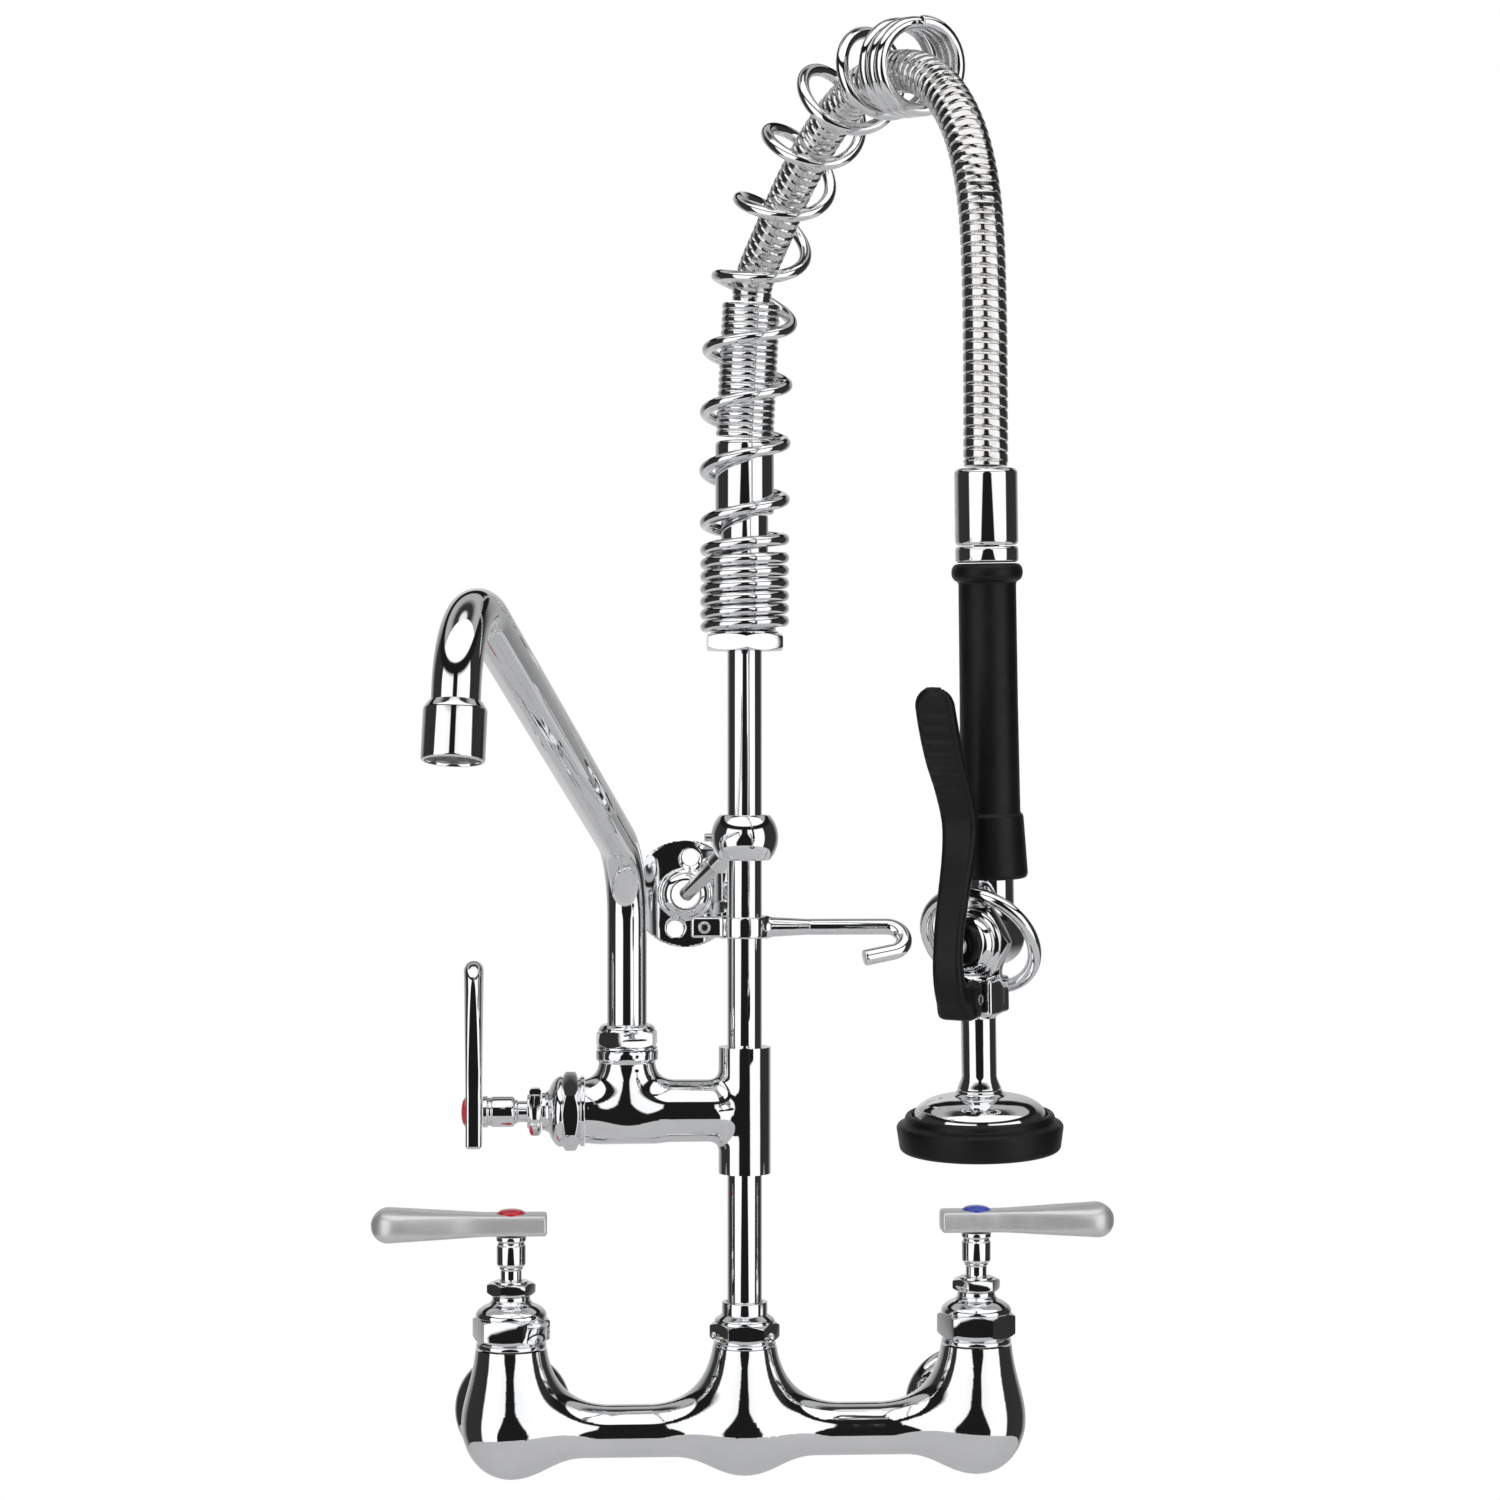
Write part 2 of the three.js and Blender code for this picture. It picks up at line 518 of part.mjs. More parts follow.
// The arch stands in a vertical plane through the riser; its local +X points outward.
const arch = groupAt(stand, 0, 0, 0);
arch.rotation.z = ARC_AZIMUTH;
const inPlane = (line) => line.map(([t, z]) => new THREE.Vector3(t, 0, z));
const SLEEVE_FOOT = 432.7;
const [sleeveTop] = inPlane(HOSE_LINE);
const sleeveLean = Math.atan2(sleeveTop.x, sleeveTop.z - SLEEVE_FOOT);
const sleeveLength = Math.hypot(sleeveTop.x, sleeveTop.z - SLEEVE_FOOT) - 1;
const sleeve = groupAt(arch, 0, 0, SLEEVE_FOOT);
sleeve.rotation.y = sleeveLean;
add(sleeve, "hose_sleeve", ringOf(5, 12.6, 0, sleeveLength, 24), chrome);
add(arch, "hose", tube(inPlane(HOSE_LINE), HOSE_R, 5), steel);

// Overhead spring: closed coils on the nut, open coils that widen upward, and closed coils at the end.
// The pitch of each turn; in between, the pitch changes evenly from the middle of one turn to the next.
const TURN_PITCHES = [
  ...Array(6).fill(CLOSED_PITCH), 11, 24.4, 25.3, 26, 30, 35, 33, 32.5, 34, 18,
  ...Array(3).fill(CLOSED_PITCH),
];
function springPoints() {
  const line = new THREE.CatmullRomCurve3(inPlane(SPRING_LINE));
  const length = line.getLength();
  const perTurn = 11;
  const last = TURN_PITCHES.length - 1;
  const pitchAt = (turn) => {
    const t = Math.min(Math.max(turn - 0.5, 0), last);
    const i = Math.min(Math.floor(t), last - 1);
    return THREE.MathUtils.lerp(TURN_PITCHES[i], TURN_PITCHES[i + 1], t - i);
  };
  const phase = (245 * Math.PI) / 180; // where the wire starts, from the arch's outward side
  const points = [];
  let s = 5.1; // start of the wire's centreline above the foot of the line
  for (let step = 0; step <= (last + 1) * perTurn && s < length; step += 1) {
    const centre = line.getPointAt(s / length);
    const along = line.getTangentAt(s / length);
    const outward = new THREE.Vector3(along.z, 0, -along.x);
    const angle = phase + (2 * Math.PI * step) / perTurn;
    points.push(centre.addScaledVector(outward, SPRING_R * Math.cos(angle))
      .add(new THREE.Vector3(0, SPRING_R * Math.sin(angle), 0)));
    s += pitchAt(step / perTurn) / perTurn;
  }
  return points;
}
add(arch, "overhead_spring", tube(springPoints(), WIRE_R, 3), chrome);

// ---------------------------------------------------------------- spray valve
// Local +X points to the lever's side, +Z up the handle; z = 0 at the top of the hose coupling.
const spray = groupAt(arch, SPRAY_REACH, 0, SPRAY_TOP);
spray.rotation.set(SPRAY_ROLL, SPRAY_TILT, LEVER_AZIMUTH - ARC_AZIMUTH, "ZYX");

add(spray, "hose_coupling", turned([
  [0, -0.4], [10.6, -0.4], [12.1, -2], [12.1, -29.2], [11.4, -29.9], [5.3, -29.9], [5.3, -18], [0, -18],
], 24), chrome);
add(spray, "swivel_nut", turned([
  [0, -18.6], [4.9, -18.6], [4.9, -30.3], [11.6, -30.3], [12.1, -31], [12.1, -36.4], [7, -36.4],
  [7, -36], [0, -36],
], 24), chrome);
add(spray, "grip", turned([
  [9, -36.8], [12.6, -36.8], [13.9, -39], [13.9, -42.4], [12.6, -44.6], [11.4, -45.4], [11.4, -133],
  [12.4, -134.6], [14.2, -157.8], [9, -157.8], [9, -36.8],
], 24), rubber);

function buildValveBody() {
  const barrel = turned([[0, -9], [6.9, -9], [11.4, -4.5], [11.4, 12.6], [0, 12.6]], 22)
    .rotateY(Math.PI / 2).translate(0, 0, VALVE_W);
  const inlet = turned([
    [0, -172], [8.7, -172], [8.7, -37], [0, -37],
  ], 20);
  const elbow = new THREE.SphereGeometry(8.7, 20, 10).translate(0, 0, -172);
  const neck = rod(9.6, -196, VALVE_W, 20).translate(OUTLET_U, 0, 0);
  const boss = new THREE.BoxGeometry(17, 19, 14).translate(OUTLET_U, 0, -201.5);
  const lug = new THREE.BoxGeometry(9, 7, 11).translate(PIVOT.u - 1.5, 0, PIVOT.w);
  const outlet = rod(6.75, -237.6, -200, 18).translate(OUTLET_U, 0, 0);
  return carve([barrel, inlet, elbow, neck, boss, lug, outlet], [
    rod(6, -175, -36, 14), // water way down the handle
    rod(3.4, -8, 14, 12).rotateY(Math.PI / 2).translate(0, 0, VALVE_W),
    rod(4.6, -239, VALVE_W, 14).translate(OUTLET_U, 0, 0),
    rod(15.8, 12.7, 30, 24).rotateY(Math.PI / 2).translate(0, 0, VALVE_W), // room for the cap
    rod(2.4, -6, 6, 12).rotateX(Math.PI / 2).translate(PIVOT.u, 0, PIVOT.w),
  ]);
}
add(spray, "valve_body", buildValveBody(), chrome);

const cap = groupAt(spray, 0, 0, VALVE_W);
cap.rotation.y = Math.PI / 2; // local +Z points to the lever
add(cap, "valve_cap", carve([
  hexNut(15.4, 3.6, 13, 19, 1.4, Math.PI / 6),
  ringOf(3.6, 13, 18.6, 21, 24),
  turned([[3.6, 20.6], [10.8, 20.6], [10.8, 22.5], [9.2, 25], [3.6, 25], [3.6, 20.6]], 22),
]), chrome);
add(cap, "plunger", turned([
  [0, -4], [3, -4], [3, 31], [4.6, 31], [4.6, 33.4], [3.6, 34.4], [0, 34.6],
], 16), steel);

const head = groupAt(spray, OUTLET_U, 0, 0);
add(head, "spray_dome", turned([
  [0, -237.9], [8.6, -237.9], [9.6, -240.4], [19, -242], [23.4, -244.4], [25.4, -247.2], [25.75, -249.2], [25.75, -252.4],
  [23.4, -252.4], [23.4, -250], [19, -247.2], [0, -244.4],
], 32), chrome);
add(head, "spray_bumper", turned([
  [26.1, -247.4], [28, -247], [28.8, -248.2], [29, -250.6], [32, -251.6], [30.6, -261.6], [21, -261.6],
  [21, -255.8], [26.1, -255.8], [26.1, -247.4],
], 36), rubber);
add(head, "spray_face", turned([
  [0, -255.4], [25.6, -255.4], [25.6, -252.8], [22.8, -252.8], [22.8, -250.6], [0, -250.6],
], 28), blackPlastic);

// Squeeze lever: a bent paddle, drawn in the handle's plane and as wide as a finger.
const LEVER_LINE = [
  [48.6, -82.2], [44, -97], [38.7, -110], [31.6, -122], [27, -133.5], [27.6, -144], [33, -161],
  [37.2, -175], [38.6, -188], [36, -199], [30.5, -206.5],
];
const LEVER_THICK = 5.6;
const LEVER_WIDTH = 15;
function buildSqueezeLever() {
  const middle = new THREE.SplineCurve(LEVER_LINE.map(([u, w]) => new THREE.Vector2(u, w)));
  const steps = 20;
  const edge = (side) => Array.from({ length: steps + 1 }, (_, i) => {
    const p = middle.getPointAt(i / steps);
    const t = middle.getTangentAt(i / steps);
    return new THREE.Vector2(p.x - (side * t.y * LEVER_THICK) / 2, p.y + (side * t.x * LEVER_THICK) / 2);
  });
  const outline = new THREE.Shape([...edge(1), ...edge(-1).reverse()]);
  const paddle = new THREE.ExtrudeGeometry(outline, {
    depth: LEVER_WIDTH - 3, bevelThickness: 1.5, bevelSize: 1.2, bevelOffset: -1.2, bevelSegments: 2,
  }).rotateX(Math.PI / 2).translate(0, LEVER_WIDTH / 2 - 1.5, 0);
  const hub = rod(6.6, -LEVER_WIDTH / 2, LEVER_WIDTH / 2, 18).rotateX(Math.PI / 2)
    .translate(PIVOT.u, 0, PIVOT.w);
  return carve([paddle, hub], [
    new THREE.BoxGeometry(18, 7.8, 30).translate(PIVOT.u - 4.6, 0, PIVOT.w),
    new THREE.BoxGeometry(10, 40, 40).translate(PIVOT.u - 8.2, 0, PIVOT.w),
    rod(2.4, -9, 9, 12).rotateX(Math.PI / 2).translate(PIVOT.u, 0, PIVOT.w),
  ]);
}
add(spray, "squeeze_lever", buildSqueezeLever(), rubber);
add(spray, "lever_pin", rod(2.1, -7.6, 7.6, 14).rotateX(Math.PI / 2)
  .translate(PIVOT.u, 0, PIVOT.w), steel);

// Loose ring round the valve that is flipped over the grip to hold the lever down.
const RING = { u: 10.5, w: -181, r: 22.2, lean: (60 * Math.PI) / 180 };
add(spray, "hold_ring", closed(new THREE.TorusGeometry(RING.r, 2.6, 8, 36))
  .rotateY(-RING.lean).translate(RING.u, 0, RING.w), chrome);

export default faucet;
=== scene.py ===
import math

import bmesh
import bpy
import numpy as np
from mathutils import Matrix, Vector


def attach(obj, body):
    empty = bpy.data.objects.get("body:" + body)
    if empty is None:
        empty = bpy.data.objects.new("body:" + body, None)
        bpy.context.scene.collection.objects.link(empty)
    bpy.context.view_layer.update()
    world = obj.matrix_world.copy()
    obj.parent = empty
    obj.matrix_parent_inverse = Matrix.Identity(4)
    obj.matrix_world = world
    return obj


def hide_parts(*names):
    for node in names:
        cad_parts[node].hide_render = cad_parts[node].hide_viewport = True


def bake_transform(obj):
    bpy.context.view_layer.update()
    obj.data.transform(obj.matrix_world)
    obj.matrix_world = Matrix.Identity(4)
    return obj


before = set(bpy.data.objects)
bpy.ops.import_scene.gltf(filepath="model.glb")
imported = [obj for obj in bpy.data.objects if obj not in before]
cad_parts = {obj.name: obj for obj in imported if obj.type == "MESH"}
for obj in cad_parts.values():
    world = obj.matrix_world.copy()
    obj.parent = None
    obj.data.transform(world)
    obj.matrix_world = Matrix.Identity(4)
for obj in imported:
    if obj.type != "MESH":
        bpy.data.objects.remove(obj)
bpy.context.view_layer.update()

# Lengths of pieces are millimetres in the part's frame, and become metres in make(). The camera, the floor
# and the lights are in metres.
scene = bpy.context.scene
scene.view_settings.view_transform = "Standard"
scene.view_settings.look = "None"
rad = math.radians


# ---------------------------------------------------------------- camera
camera = bpy.data.objects.new("camera", bpy.data.cameras.new("camera"))
scene.collection.objects.link(camera)
scene.camera = camera
camera.data.lens = 77.0
camera.data.sensor_width = 36.0
camera.data.shift_x = 0.0037
camera.data.shift_y = -0.01
camera.data.clip_end = 30
camera.location = (-0.0782, -1.4478, 0.303)
camera.rotation_euler = Vector((0.0558, 0.9984, 0)).to_track_quat("-Z", "Y").to_euler()


# ---------------------------------------------------------------- places the whole part hangs on
HALF = 101.6  # half the distance between the inlet centres
WALL_TO_RISER = 50
BODY_TOP = 36.6
ARCH_SPAN = 195.2  # from the riser to the hose end
HOSE_END_Z = 405.6
SPOUT_X = -51.3
SPOUT_LEAN = 11  # outlet's lean from vertical, in degrees
ADDON_X, ADDON_Z = -69.6, 139.3  # face of the add-on valve, and its axis
BALL_Z = 258.3
BRACKET_X, BRACKET_Z = -24.1, 231.4
ROD_OFF_WALL = 8.2
HOOK_Z = 219.2
VALVE_W = -180.6  # axis of the spray valve's barrel
NECK_U = 13  # axis of the neck above the spray head
PIVOT_W = -201.5  # axis of the squeeze lever's pin


# ---------------------------------------------------------------- frames of reference
def move(x=0, y=0, z=0):
    return Matrix.Translation((x, y, z))


def turn(degrees, axis):
    return Matrix.Rotation(rad(degrees), 4, axis)


STAND = move(y=-WALL_TO_RISER)
ARCH = STAND @ turn(-65, "Z")
SPRAY = ARCH @ move(ARCH_SPAN, 0, HOSE_END_Z) @ turn(-58, "Z") @ turn(3.42, "Y") @ turn(-0.78, "X")
CAP = SPRAY @ move(z=VALVE_W) @ turn(90, "Y")
HEAD = SPRAY @ move(NECK_U)
SPOUT = STAND @ move(SPOUT_X) @ turn(-102.4, "Z")


# ---------------------------------------------------------------- solids as (points, faces)
def placed(solid, matrix):
    points, faces = solid
    m = np.array(matrix)
    return points @ m[:3, :3].T + m[:3, 3], faces


def merged(*solids):
    points, faces, start = [], [], 0
    for p, f in solids:
        points.append(p)
        faces += [tuple(i + start for i in face) for face in f]
        start += len(p)
    return np.vstack(points), faces


def rounded(profile, radius=0.5, steps=3, loop=False):
    """The profile with each corner replaced by a small curve. A third number is that corner's own radius."""
    points = [(np.array(p[:2], float), p[2] if len(p) > 2 else radius) for p in profile]
    n, out = len(points), []
    for i, (p, r) in enumerate(points):
        if not loop and i in (0, n - 1) or r <= 0:
            out.append(p)
            continue
        a, b = points[i - 1][0] - p, points[(i + 1) % n][0] - p
        la, lb = np.linalg.norm(a), np.linalg.norm(b)
        cut = min(r, 0.45 * la, 0.45 * lb)
        s, e = p + a / la * cut, p + b / lb * cut
        for k in range(steps + 1):
            t = k / steps
            out.append((1 - t) ** 2 * s + 2 * t * (1 - t) * p + t * t * e)
    return np.array(out)


def lathe(profile, segments=72, loop=False):
    """Turned about Z. The profile runs from axis to axis, or is a closed loop."""
    n, ring = len(profile), np.arange(segments)
    angle = 2 * math.pi * ring / segments
    points = np.stack([
        np.outer(profile[:, 0], np.cos(angle)), np.outer(profile[:, 0], np.sin(angle)),
        np.repeat(profile[:, 1:2], segments, 1),
    ], -1).reshape(-1, 3)
    faces = []
    for i in range(n if loop else n - 1):
        j = (i + 1) % n
        for k in range(segments):
            m = (k + 1) % segments
            faces.append((i * segments + k, i * segments + m, j * segments + m, j * segments + k))
    return points, faces


def turned(profile, radius=0.5, segments=72):
    return lathe(rounded(profile, radius), segments)


def ring(profile, radius=0.5, segments=72):
    return lathe(rounded(profile, radius, loop=True), segments, loop=True)


def skin(rings, loop=False):
    """A skin over rings of points, closed at its two ends unless it is a loop."""
    count, sides = len(rings), len(rings[0])
    points = np.vstack(rings)
    faces = []
    for i in range(count if loop else count - 1):
        a, b = i * sides, ((i + 1) % count) * sides
        for k in range(sides):
            m = (k + 1) % sides
            faces.append((a + k, a + m, b + m, b + k))
    if not loop:
        faces.append(tuple(range(sides - 1, -1, -1)))
        faces.append(tuple((count - 1) * sides + k for k in range(sides)))
    return points, faces


def directions(line):
    d = np.gradient(line, axis=0)
    return d / np.linalg.norm(d, axis=1, keepdims=True)


def carried(normal, along):
    """A direction across a line, carried along it without twist."""
    side = np.empty_like(along)
    current = np.array(normal, float)
    for i, t in enumerate(along):
        current = current - t * (current @ t)
        current /= np.linalg.norm(current)
        side[i] = current
    return side


def sweep(line, radius, sides=32, normal=(0, 1, 0), tip=0.0):
    """A round bar along a line, its ends rounded by tip; normal is across the line's plane."""
    line = np.asarray(line, float)
    radii = np.full(len(line), float(radius))
    along = directions(line)
    if tip:
        quarter = np.linspace(0, math.pi / 2, 5)
        inset = tip * (1 - np.cos(quarter))[:, None]
        end_radii = radius - tip + tip * np.sin(quarter)
        line = np.vstack([line[0] + along[0] * inset, line[1:-1], line[-1] - along[-1] * inset[::-1]])
        radii = np.concatenate([end_radii, radii[1:-1], end_radii[::-1]])
        along = np.vstack([np.repeat(along[:1], 5, 0), along[1:-1], np.repeat(along[-1:], 5, 0)])
    side = carried(normal, along)
    up = np.cross(along, side)
    angle = 2 * math.pi * np.arange(sides) / sides
    rings = line[:, None] + radii[:, None, None] * (
        np.cos(angle)[None, :, None] * side[:, None] + np.sin(angle)[None, :, None] * up[:, None]
    )
    return skin(list(rings))


def spline(points, spacing=1.5):
    """Points a steady distance apart on a smooth curve through the given ones."""
    p = np.asarray(points, float)
    p = np.vstack([2 * p[0] - p[1], p, 2 * p[-1] - p[-2]])
    knots = np.concatenate([[0], np.cumsum(np.linalg.norm(np.diff(p, axis=0), axis=1) ** 0.5)])
    out = []
    for i in range(1, len(p) - 2):
        t0, t1, t2, t3 = knots[i - 1:i + 3]
        t = np.linspace(t1, t2, 40, endpoint=False)[:, None]
        a1 = (t1 - t) / (t1 - t0) * p[i - 1] + (t - t0) / (t1 - t0) * p[i]
        a2 = (t2 - t) / (t2 - t1) * p[i] + (t - t1) / (t2 - t1) * p[i + 1]
        a3 = (t3 - t) / (t3 - t2) * p[i + 1] + (t - t2) / (t3 - t2) * p[i + 2]
        b1 = (t2 - t) / (t2 - t0) * a1 + (t - t0) / (t2 - t0) * a2
        b2 = (t3 - t) / (t3 - t1) * a2 + (t - t1) / (t3 - t1) * a3
        out.append((t2 - t) / (t2 - t1) * b1 + (t - t1) / (t2 - t1) * b2)
    dense = np.vstack(out + [p[-2:-1]])
    length = np.concatenate([[0], np.cumsum(np.linalg.norm(np.diff(dense, axis=0), axis=1))])
    steps = np.linspace(0, length[-1], max(2, int(round(length[-1] / spacing)) + 1))
    return np.stack([np.interp(steps, length, dense[:, k]) for k in range(3)], 1)


def line_length(line):
    return float(np.linalg.norm(np.diff(line, axis=0), axis=1).sum())


def hexagon(corner, z0, z1, chamfer=1.2, bore=3.0, phase=0.0, per_side=10, round_by=0.35):
    """A hexagon nut whose corners are turned off by a cone at both ends."""
    flat = corner * math.cos(math.pi / 6)
    angle = np.linspace(0, 2 * math.pi, 6 * per_side, endpoint=False)
    off = (angle + math.pi / 6) % (math.pi / 3) - math.pi / 6
    reach = flat / np.cos(np.abs(math.pi / 6 - np.abs(off)))
    reach = np.minimum(reach, corner - round_by * 0.3)
    inner = flat * 0.975
    drop = np.maximum(reach - inner, 0) * chamfer / (corner - inner)

    def circle(r, z):
        r, z = np.broadcast_to(r, angle.shape), np.broadcast_to(z, angle.shape)
        return np.stack([r * np.cos(angle + phase), r * np.sin(angle + phase), z], 1)

    rings = [
        circle(bore, z0), circle(inner, z0), circle(reach - round_by * 0.4, z0 + drop - round_by * 0.25),
        circle(reach, z0 + drop + round_by), circle(reach, z1 - drop - round_by),
        circle(reach - round_by * 0.4, z1 - drop + round_by * 0.25), circle(inner, z1), circle(bore, z1),
    ]
    return skin(rings, loop=True)


# ---------------------------------------------------------------- cast shapes from distance fields
def smooth_min(a, b, k):
    h = np.maximum(k - np.abs(a - b), 0) / k
    return np.minimum(a, b) - h * h * k / 4


def capsule(p, a, b, ra, rb=None):
    """Distance to a bar with round ends that tapers from ra to rb."""
    rb = ra if rb is None else rb
    a, b = np.array(a, float), np.array(b, float)
    d = b - a
    t = np.clip((p - a) @ d / (d @ d), 0, 1)
    return np.linalg.norm(p - a - t[:, None] * d, axis=1) - (ra + (rb - ra) * t)


def cylinder(p, a, b, r, edge=0.0):
    """Distance to a flat-ended round bar, its edges rounded by edge."""
    a, b = np.array(a, float), np.array(b, float)
    half = np.linalg.norm(b - a) / 2
    d = (b - a) / (2 * half)
    q = p - (a + b) / 2
    along = np.abs(q @ d)
    across = np.sqrt(np.maximum((q * q).sum(1) - along ** 2, 0))
    u, w = across - (r - edge), along - (half - edge)
    return np.minimum(np.maximum(u, w), 0) + np.hypot(np.maximum(u, 0), np.maximum(w, 0)) - edge


def block(p, centre, size, edge=0.0):
    q = np.abs(p - np.array(centre, float)) - (np.array(size, float) / 2 - edge)
    return np.linalg.norm(np.maximum(q, 0), axis=1) + np.minimum(q.max(1), 0) - edge


def cast(field, low, high, step):
    """The surface where field is zero, as a quad mesh whose points lie on it."""
    low, high = np.array(low, float), np.array(high, float)
    counts = np.ceil((high - low) / step).astype(int) + 1
    axes = [low[k] + step * np.arange(counts[k]) for k in range(3)]
    grid = np.stack(np.meshgrid(*axes, indexing="ij"), -1).reshape(-1, 3)
    value = np.concatenate([field(g) for g in np.array_split(grid, 24)]).reshape(counts)
    inside = value < 0
    corners = [inside[a:counts[0] - 1 + a, b:counts[1] - 1 + b, c:counts[2] - 1 + c]
               for a in (0, 1) for b in (0, 1) for c in (0, 1)]
    total = sum(c.astype(int) for c in corners)
    mixed = (total > 0) & (total < 8)
    number = -np.ones(mixed.shape, int)
    number[mixed] = np.arange(mixed.sum())
    points = low + step * (np.argwhere(mixed) + 0.5)
    eps = 0.05
    for _ in range(6):
        f = field(points)
        grad = np.stack([(field(points + e) - field(points - e)) / (2 * eps) for e in np.eye(3) * eps], 1)
        shift = grad * (f / np.maximum((grad * grad).sum(1), 0.25))[:, None]
        length = np.linalg.norm(shift, axis=1, keepdims=True)
        points = points - shift * np.minimum(1, 0.6 * step / np.maximum(length, 1e-9))
    faces = []
    for axis in range(3):
        b, c = (axis + 1) % 3, (axis + 2) % 3
        first = np.take(inside, range(counts[axis] - 1), axis)
        second = np.take(inside, range(1, counts[axis]), axis)
        edges = np.argwhere(first != second)
        edges = edges[(edges[:, b] > 0) & (edges[:, c] > 0)
                      & (edges[:, b] < counts[b] - 1) & (edges[:, c] < counts[c] - 1)]
        ahead = first[tuple(edges.T)]
        quad = []
        for db, dc in ((-1, -1), (0, -1), (0, 0), (-1, 0)):
            cell = edges.copy()
            cell[:, b] += db
            cell[:, c] += dc
            quad.append(number[tuple(cell.T)])
        quad = np.stack(quad, 1)
        quad[~ahead] = quad[~ahead][:, ::-1]
        faces += [tuple(q) for q in quad.tolist()]
    return points, faces


def sliced(solid, *planes):
    """The solid with everything past each (point, outward normal) plane cut away and the cut closed."""
    mesh = bpy.data.meshes.new("slice")
    mesh.from_pydata(solid[0].tolist(), [], solid[1])
    bm = bmesh.new()
    bm.from_mesh(mesh)
    for point, normal in planes:
        geometry = bm.verts[:] + bm.edges[:] + bm.faces[:]
        cut = bmesh.ops.bisect_plane(bm, geom=geometry, dist=1e-4, plane_co=point, plane_no=normal,
                                     clear_outer=True)
        edges = [e for e in cut["geom_cut"] if isinstance(e, bmesh.types.BMEdge)]
        bmesh.ops.holes_fill(bm, edges=edges, sides=0)
    points = np.array([v.co for v in bm.verts])
    bm.verts.index_update()
    faces = [tuple(v.index for v in f.verts) for f in bm.faces]
    bm.free()
    bpy.data.meshes.remove(mesh)
    return points, faces


# ---------------------------------------------------------------- materials
def new_material(name):
    material = bpy.data.materials.new(name)
    material.use_nodes = True
    tree = material.node_tree
    return material, tree, tree.nodes["Principled BSDF"]


def noise(tree, scale, detail=2.0, roughness=0.5):
    coordinates = tree.nodes.new("ShaderNodeTexCoord")
    texture = tree.nodes.new("ShaderNodeTexNoise")
    texture.inputs["Scale"].default_value = scale
    texture.inputs["Detail"].default_value = detail
    texture.inputs["Roughness"].default_value = roughness
    tree.links.new(coordinates.outputs["Object"], texture.inputs["Vector"])
    return texture.outputs["Fac"]


def spread(tree, source, low, high):
    node = tree.nodes.new("ShaderNodeMapRange")
    node.inputs["From Min"].default_value = 0.3
    node.inputs["From Max"].default_value = 0.7
    node.inputs["To Min"].default_value = low
    node.inputs["To Max"].default_value = high
    tree.links.new(source, node.inputs["Value"])
    return node.outputs["Result"]


def tinted(tree, source, low, high):
    ramp = tree.nodes.new("ShaderNodeValToRGB")
    ramp.color_ramp.elements[0].position = 0.3
    ramp.color_ramp.elements[0].color = (*low, 1)
    ramp.color_ramp.elements[1].position = 0.7
    ramp.color_ramp.elements[1].color = (*high, 1)
    tree.links.new(source, ramp.inputs["Fac"])
    return ramp.outputs["Color"]


def bumped(tree, shader, source, depth):
    bump = tree.nodes.new("ShaderNodeBump")
    bump.inputs["Distance"].default_value = depth
    bump.inputs["Strength"].default_value = 1.0
    tree.links.new(source, bump.inputs["Height"])
    tree.links.new(bump.outputs["Normal"], shader.inputs["Normal"])


def metal(name, low, high, rough, grain=40.0, bump=None):
    """Bare or plated metal whose tint and gloss vary a little over the surface."""
    material, tree, shader = new_material(name)
    shader.inputs["Metallic"].default_value = 1.0
    cloud = noise(tree, grain, 4.0)
    tree.links.new(tinted(tree, cloud, low, high), shader.inputs["Base Color"])
    fine = noise(tree, grain * 6, 3.0, 0.6)
    tree.links.new(spread(tree, fine, *rough), shader.inputs["Roughness"])
    if bump:
        bumped(tree, shader, noise(tree, bump[0], 2.0), bump[1])
    return material


chrome = metal("polished_chrome", (0.86, 0.87, 0.885), (0.92, 0.925, 0.935), (0.02, 0.055))
cast_chrome = metal("polished_chrome_casting", (0.86, 0.87, 0.885), (0.92, 0.925, 0.935), (0.025, 0.06),
                    bump=(55, 0.00012))
satin = metal("satin_chrome", (0.8, 0.8, 0.81), (0.86, 0.86, 0.87), (0.36, 0.46), 120.0, bump=(2500, 0.000012))
satin.node_tree.nodes["Principled BSDF"].inputs["Metallic"].default_value = 0.72
steel = metal("bright_steel", (0.66, 0.65, 0.64), (0.78, 0.77, 0.76), (0.12, 0.24), 90.0)
hose_steel = metal("hose_steel", (0.74, 0.73, 0.72), (0.86, 0.85, 0.84), (0.07, 0.16), 150.0)
brass = metal("machined_brass", (0.52, 0.38, 0.15), (0.66, 0.5, 0.22), (0.22, 0.36), 80.0)
dark_steel = metal("steel_mesh", (0.22, 0.22, 0.22), (0.4, 0.4, 0.4), (0.25, 0.45), 300.0)


def moulded(name, low, high, rough, grain, depth, coat=0.0, specular=0.5):
    """Rubber or plastic with mottled colour and a fine moulded grain."""
    material, tree, shader = new_material(name)
    cloud = noise(tree, 60, 4.0)
    tree.links.new(tinted(tree, cloud, low, high), shader.inputs["Base Color"])
    tree.links.new(spread(tree, noise(tree, 220, 3.0), *rough), shader.inputs["Roughness"])
    shader.inputs["Coat Weight"].default_value = coat
    shader.inputs["Coat Roughness"].default_value = 0.06
    shader.inputs["Specular IOR Level"].default_value = specular
    bumped(tree, shader, noise(tree, grain, 3.0, 0.6), depth)
    return material


